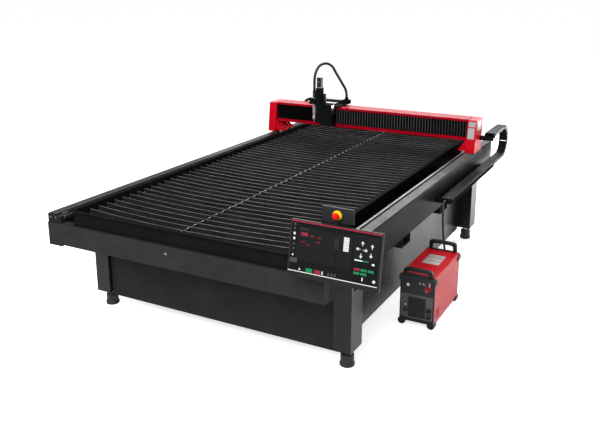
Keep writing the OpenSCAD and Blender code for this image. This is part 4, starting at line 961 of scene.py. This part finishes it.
def page_triangle(bm, u, v, size=6):
    flat_shape(bm, [(-size, -size), (size, -size), (0, size)], MARK_THICK, page_spot(u, v), PAGE_WHITE)


print("page finishes", [finish.name for finish in page_finishes])

# %% Screen page
page = bmesh.new()
page_cell(page, PAGE_GREY, 0.075, 0.1, 0.522, 0.76, PANEL_THICK)
page_cell(page, PAGE_GREY, 0.53, 0.1, 0.7, 0.76, PANEL_THICK)
page_cell(page, PAGE_GREY, 0.715, 0.06, 0.985, 0.52, PANEL_THICK)
page_cell(page, PAGE_RED, -0.01, -0.024, 1.01, 0.004)
page_cell(page, PAGE_WHITE, -0.012, 0.99, 1.0, 1.006)
for i, v in enumerate((0.055, 0.14, 0.245, 0.345, 0.455, 0.55)):
    page_cell(page, PAGE_WHITE if i in (2, 3) else PAGE_FAINT, 0.024, v - 0.024, 0.046, v + 0.024)
page_triangle(page, 0.032, 0.67)
page_cell(page, PAGE_FAINT, 0.005, 0.735, 0.09, 0.83, KEY_THICK)
page_cell(page, PAGE_FAINT, 0.1, 0.12, 0.2, 0.135)
page_cell(page, PAGE_RED, 0.115, 0.2, 0.19, 0.265)
for u, v in ((0.22, 0.23), (0.3, 0.24), (0.12, 0.37), (0.175, 0.42), (0.29, 0.33)):
    page_cell(page, PAGE_DIM, u, v, u + 0.045, v + 0.035)
for i in range(8):
    page_cell(page, PAGE_FAINT, 0.5, 0.2 + 0.03 * i, 0.548, 0.207 + 0.03 * i)
    page_cell(page, PAGE_WHITE, 0.602, 0.15 + 0.035 * i, 0.662, 0.178 + 0.035 * i)
for u, v, quarter_turns in ((0.81, 0.21, 0), (0.765, 0.325, 3), (0.845, 0.335, 1), (0.8, 0.455, 2),
                            (0.915, 0.245, 0), (0.908, 0.42, 2)):
    page_arrow(page, u, v, quarter_turns)
page_cell(page, PAGE_WHITE, 0.735, 0.535, 0.82, 0.56)
page_cell(page, PAGE_GREEN, 0.82, 0.535, 0.89, 0.56)
page_cell(page, PAGE_WHITE, 0.925, 0.565, 0.955, 0.6)
for u, v, index in ((0.735, 0.7, PAGE_RED), (0.812, 0.7, PAGE_GREEN), (0.889, 0.7, PAGE_GREEN),
                    (0.735, 0.775, PAGE_GREEN), (0.812, 0.775, PAGE_GREEN)):
    page_cell(page, index, u, v, u + 0.066, v + 0.048)
page_triangle(page, 0.125, 0.94)
page_cell(page, PAGE_GREEN, 0.2, 0.9, 0.275, 0.975)
page_cell(page, PAGE_RED, 0.3, 0.9, 0.372, 0.975)
page_cell(page, PAGE_WHITE, 0.385, 0.905, 0.397, 0.97)
for i in range(3):
    page_cell(page, PAGE_FAINT, 0.45 + 0.037 * i, 0.91, 0.47 + 0.037 * i, 0.965)
page_cell(page, PAGE_WHITE, 0.83, 0.865, 0.842, 0.935)
turned_part(page, [(0, 0.5), (7, 0.5), (8, 0), (0, 0)], page_spot(0.963, 0.905) @ FRONT, PAGE_WHITE)
riding_piece("screen_page", page, page_finishes, "screen")

# %% [markdown]
# The power source's front has a dark fascia above a grey panel, and over the grille below it the panel is
# darkened, a painted shade of the vent recess. The panel is one moulding, so its finish changes with its
# place. The gauge, keys, lamp, ring and sockets are turned or moulded, each standing on the panel.

# %% Power source front
POWER_X = 1130
PANEL_Y = 1149
FASCIA_Z = 226
change_beyond(grey_panel, "Z", FASCIA_Z * MM, (0.011, 0.012, 0.0125))
# The window over the grille is darkened: a painted shade of the vent recess.
change_inside(grey_panel, row(1068, PANEL_Y, 62), row(1192, PANEL_Y, 212), (0.016, 0.016, 0.0165))
WHITE, BLACK, PALE, RED = range(4)
front_finishes = [clean_white, black_plastic, pale_plate, stop_red]


def on_panel(x, z):
    return at(x, PANEL_Y, z, FRONT)


front_set = bmesh.new()
gauge = on_panel(1065, 292)
turned_part(front_set, [(0, 2), (11.5, 2), (12.5, 4), (15, 3.2), (15, 0), (0, 0)], gauge, BLACK, 28)
turned_part(front_set, [(0, 2.6), (11, 2.6), (11.4, 2), (0, 2)], gauge, WHITE, 28)
for x in (1147, 1172):
    turned_part(front_set, [(0, 4), (5, 4), (6, 3), (6, 0), (0, 0)], on_panel(x, 315), PALE)
soft_block(front_set, (1209, 1217), (PANEL_Y - 3, PANEL_Y), (297, 329), PALE)
turned_part(front_set, [(0, 3), (1.6, 2.4), (2.8, 0), (0, 0)], on_panel(1184, 308), WHITE, 12)
knob_ring = [(20, 0.6), (22.5, 0.6), (22.5, 0), (20, 0), (20, 0.6)]
turned_part(front_set, knob_ring, on_panel(1200, 281), RED, 32)
for x, z, r in ((1050, 112, 16), (1214, 128, 16), (1214, 84, 14)):
    socket = [(0, 9), (r - 7, 9), (r - 6, 16), (r - 2, 15), (r, 4), (r + 3, 3), (r + 3, 0), (0, 0)]
    turned_part(front_set, socket, on_panel(x, z), BLACK, 24)
turned_part(front_set, [(0, 2), (5, 2), (6, 1), (6, 0), (0, 0)], on_panel(1050, 146), WHITE, 16)
riding_piece("power_front_fittings", front_set, front_finishes, "table")

# %% Knob mark
knob_front = (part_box("power_knob")[0][1] - table_origin.y) / MM
knob_mark = bmesh.new()
soft_block(knob_mark, (1198, 1202), (knob_front - 0.8, knob_front), (271, 280), 0, 0.3)
riding_piece("knob_mark", knob_mark, [clean_white], "knob")

# %% [markdown]
# Each end of the power source has a carrying handle. A soft round grip is moulded over its flat bar: it is a
# thick tube on a bent line, which a curve with a bevel gives, as it did for the leads. A rubber guard caps
# each upper corner, so that a knock doesn't dent the case. It is turned, with a round shoulder.

# %% Handle grips and corner guards
GRIP_D = 30
GUARD_OUT = 106
GUARD_Z = 336


def handle_grip(name, y, top):
    half = [(-89, 368), (-89, top - 34), (-86, top - 16), (-78, top - 6), (-64, top), (-30, top + 2)]
    line = [(POWER_X + x, y, z) for x, z in half] + [(POWER_X - x, y, z) for x, z in reversed(half)]
    grip = tube_piece(name, smooth_route(line), GRIP_D)
    grip.data.materials.append(black_plastic)
    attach(grip, "table")
    print(name, GRIP_D, "mm across")


handle_grip("front_handle_grip", 1160, 400)
handle_grip("rear_handle_grip", 1686, 424)
guards = bmesh.new()
guard_cap = [(0, 22), (18, 22), (24, 18), (26, 8), (24, 0), (0, 0)]
for y in (1158, 1690):
    for side in (-1, 1):
        outwards = Matrix.Rotation(side * math.pi / 2, 4, "Y")
        turned_part(guards, guard_cap, at(POWER_X + side * GUARD_OUT, y, GUARD_Z, outwards), 0, 24)
riding_piece("corner_guards", guards, [foot_rubber], "table")

# %% [markdown]
# Bare plates of thin sheet are fixed on the power source's top and on the right tower. Each is modelled as a
# plate of its own that lies a little proud of the paint, so its edge catches the light.

# %% Bare plates
CASE_TOP_Z = 365
TOWER_SIDE_X = 1003
TOWER_LEAN = math.atan2(36, 246)


def tower_front_y(z):
    return 2870 + (z - 849) * math.tan(TOWER_LEAN)


top_plates = bmesh.new()
for y in (1390, 1453, 1516):
    soft_block(top_plates, (1072, 1192), (y, y + 54), (CASE_TOP_Z, CASE_TOP_Z + 0.8), 0, 0.3)
soft_block(top_plates, (1115, 1165), (1204, 1222), (CASE_TOP_Z, CASE_TOP_Z + 1), 0, 0.3)
riding_piece("power_top_plates", top_plates, [pale_plate], "table")
tower_plates = bmesh.new()
for z0, z1, x0, x1 in ((936, 1030, 934, 990), (1038, 1082, 934, 994)):
    place = at(0, tower_front_y(z0), z0, Matrix.Rotation(-TOWER_LEAN, 4, "X"))
    flat_shape(tower_plates, [(x0, 0), (x1, 0), (x1, z1 - z0), (x0, z1 - z0)], 0.8, place)
soft_block(tower_plates, (TOWER_SIDE_X, TOWER_SIDE_X + 0.8), (2945, 3040), (1000, 1080), 0, 0.3)
riding_piece("tower_plates", tower_plates, [pale_plate], "gantry")

# %% [markdown]
# Screws hold the machine together. One button head is turned in a few steps and set wherever a plate meets a
# frame: on the front and rear beams, the ends of the side beams and the torch carriage.

# %% Frame screws
REAR_Y = 3480
SIDE_BEAM_INSET = 8
STEEL, PLASTIC, GREY = range(3)


def screw_head(bm, place, radius, index=0):
    turned_part(bm, [(0, radius * 0.35), (radius * 0.4, radius * 0.35), (radius * 0.45, radius * 0.65),
                     (radius * 0.8, radius * 0.55), (radius, 0), (0, 0)], place, index, 10)


frame_screws = bmesh.new()
for x in (-845, -418, 0, 418, 845):
    for side in (-12, 12):
        screw_head(frame_screws, at(x + side, 0, 692, FRONT), 5, PLASTIC)
        screw_head(frame_screws, at(x + side, REAR_Y, 692, BACK), 5, PLASTIC)
for side in (-1, 1):
    for x in (935, 978):
        screw_head(frame_screws, at(side * x, SIDE_BEAM_INSET, 784, FRONT), 6, GREY)
        screw_head(frame_screws, at(side * x, REAR_Y - SIDE_BEAM_INSET, 784, BACK), 6, STEEL)
leg_plug = [(0, 0.4), (6, 0.4), (8, 0.8), (9, 0), (0, 0)]
turned_part(frame_screws, leg_plug, at(925, 387, 560, FRONT), PLASTIC, 18)
soft_block(frame_screws, (-56, -38), (-0.8, 0), (694, 708), GREY, 0.3)
riding_piece("frame_screws", frame_screws, [rail_steel, black_plastic, mid_grey], "table")

# %% Carriage fittings
carriage_screws = bmesh.new()
for x in (-476, -324):
    for z in (952, 1128):
        screw_head(carriage_screws, at(x, 2868, z, FRONT), 4, STEEL)
for x in (-418, -326):
    for z in (958, 1040, 1122):
        screw_head(carriage_screws, at(x, 2796, z, FRONT), 4, PLASTIC)
soft_block(carriage_screws, (-412, -392), (2826, 2846), (1136, 1232), PLASTIC, 2)
soft_block(carriage_screws, (-316, -314.8), (2800, 2862), (1046, 1132), STEEL, 0.4)
riding_piece("carriage_fittings", carriage_screws, [rail_steel, black_plastic], "carriage")
motor_fittings = bmesh.new()
soft_block(motor_fittings, (-477, -433), (2812, 2856), (1284, 1289), 0, 0.8)
turned_part(motor_fittings, [(0, 1.5), (4, 1.5), (5.5, 0), (0, 0)], at(-461, 2813, 1338, FRONT), 0, 16)
riding_piece("height_motor_fittings", motor_fittings, [pale_plate], "carriage")

# %% [markdown]
# The torch is a plated sleeve with a darker handle above its clamp, one solid whose finish changes with height.
# Two bands grip it at the holder, and a boot closes it where the lead leaves. They are turned, like the sleeve.

# %% Torch fittings
TORCH_X = -511
TORCH_Y = 2834
TORCH_TOP_Z = 1240
HANDLE_Z = 1130
change_beyond(torch_sleeve_painted_reflection, "Z", HANDLE_Z * MM, (0.03, 0.024, 0.023), soft=0.004)
torch_set = bmesh.new()
band = [(16.2, 0), (18, 0.8), (18, 5.2), (16.2, 6), (16.2, 0)]
for z in (1121, 1183):
    turned_part(torch_set, band, at(TORCH_X, TORCH_Y, z), 0, 28)
boot = [(13.2, 0), (15, 1), (15.6, 10), (14, 16), (13.2, 16), (13.2, 0)]
turned_part(torch_set, boot, at(TORCH_X, TORCH_Y, TORCH_TOP_Z), 1, 28)
riding_piece("torch_fittings", torch_set, [rail_steel, black_plastic], "torch_slide")

# %% [markdown]
# The floor is a plain pale studio floor that runs far past the picture. Its white is its own: camera,
# mirror and glass rays see part of it as a plain white, and the rest is lit, so the machine keeps its shadow.

# %% Floor and world


def seen_directly(tree):
    path = tree.nodes.new("ShaderNodeLightPath")
    first = add_node(tree, "ShaderNodeMath", operation="MAXIMUM")
    both = add_node(tree, "ShaderNodeMath", operation="MAXIMUM")
    tree.links.new(path.outputs["Is Camera Ray"], first.inputs[0])
    tree.links.new(path.outputs["Is Glossy Ray"], first.inputs[1])
    tree.links.new(first.outputs["Value"], both.inputs[0])
    tree.links.new(path.outputs["Is Transmission Ray"], both.inputs[1])
    return both.outputs["Value"]


floor_bm = bmesh.new()
bmesh.ops.create_grid(floor_bm, x_segments=1, y_segments=1, size=150)
floor_mesh = bpy.data.meshes.new("studio_floor")
floor_bm.to_mesh(floor_mesh)
floor_bm.free()
floor = bpy.data.objects.new("studio_floor", floor_mesh)
bpy.context.collection.objects.link(floor)
floor_paint = bpy.data.materials.new("studio_white")
floor_paint.use_nodes = True
floor_tree = floor_paint.node_tree
floor_tree.nodes.remove(floor_tree.nodes["Principled BSDF"])
lit = add_node(floor_tree, "ShaderNodeBsdfDiffuse")
lit.inputs["Color"].default_value = (0.92, 0.92, 0.92, 1)
plain = add_node(floor_tree, "ShaderNodeEmission")
blend_floor = add_node(floor_tree, "ShaderNodeAddShader")
floor_tree.links.new(span(floor_tree, seen_directly(floor_tree), 0.0, 0.72), plain.inputs["Strength"])
floor_tree.links.new(lit.outputs["BSDF"], blend_floor.inputs[0])
floor_tree.links.new(plain.outputs["Emission"], blend_floor.inputs[1])
floor_tree.links.new(blend_floor.outputs["Shader"], floor_tree.nodes["Material Output"].inputs["Surface"])
floor_mesh.materials.append(floor_paint)
world = bpy.data.worlds.new("studio_world")
world.use_nodes = True
bpy.context.scene.world = world
sky_tree = world.node_tree
sky = sky_tree.nodes["Background"]
sky.inputs["Color"].default_value = (1, 1, 1, 1)
sky_tree.links.new(span(sky_tree, seen_directly(sky_tree), 0.3, 1.0), sky.inputs["Strength"])
print("floor", tuple(floor.dimensions))

# %% [markdown]
# Four large soft lamps light the machine: one overhead, a low one behind its right side, one at the back and
# one in front. They are at a plain level, at which a colour comes out about as it is written.

# %% Lamps


def soft_lamp(name, place, target, size, power):
    lamp = bpy.data.lights.new(name, "AREA")
    lamp.shape = "RECTANGLE"
    lamp.size, lamp.size_y = size
    lamp.energy = power
    holder = bpy.data.objects.new(name, lamp)
    bpy.context.collection.objects.link(holder)
    holder.location = row(*place)
    holder.rotation_euler = (row(*target) - row(*place)).to_track_quat("-Z", "Y").to_euler()
    print(name, power, "W")


soft_lamp("lamp_top", (0, 1700, 5200), (0, 1700, 0), (5, 6), 185)
soft_lamp("lamp_right", (2600, 6200, 1000), (900, 2400, 400), (2.5, 1.6), 150)
soft_lamp("lamp_back", (-1200, 6800, 3000), (0, 1500, 800), (6, 1.6), 250)
soft_lamp("lamp_front", (400, -4200, 4600), (0, 1200, 500), (4, 3), 400)
bpy.context.scene.view_settings.view_transform = "Standard"
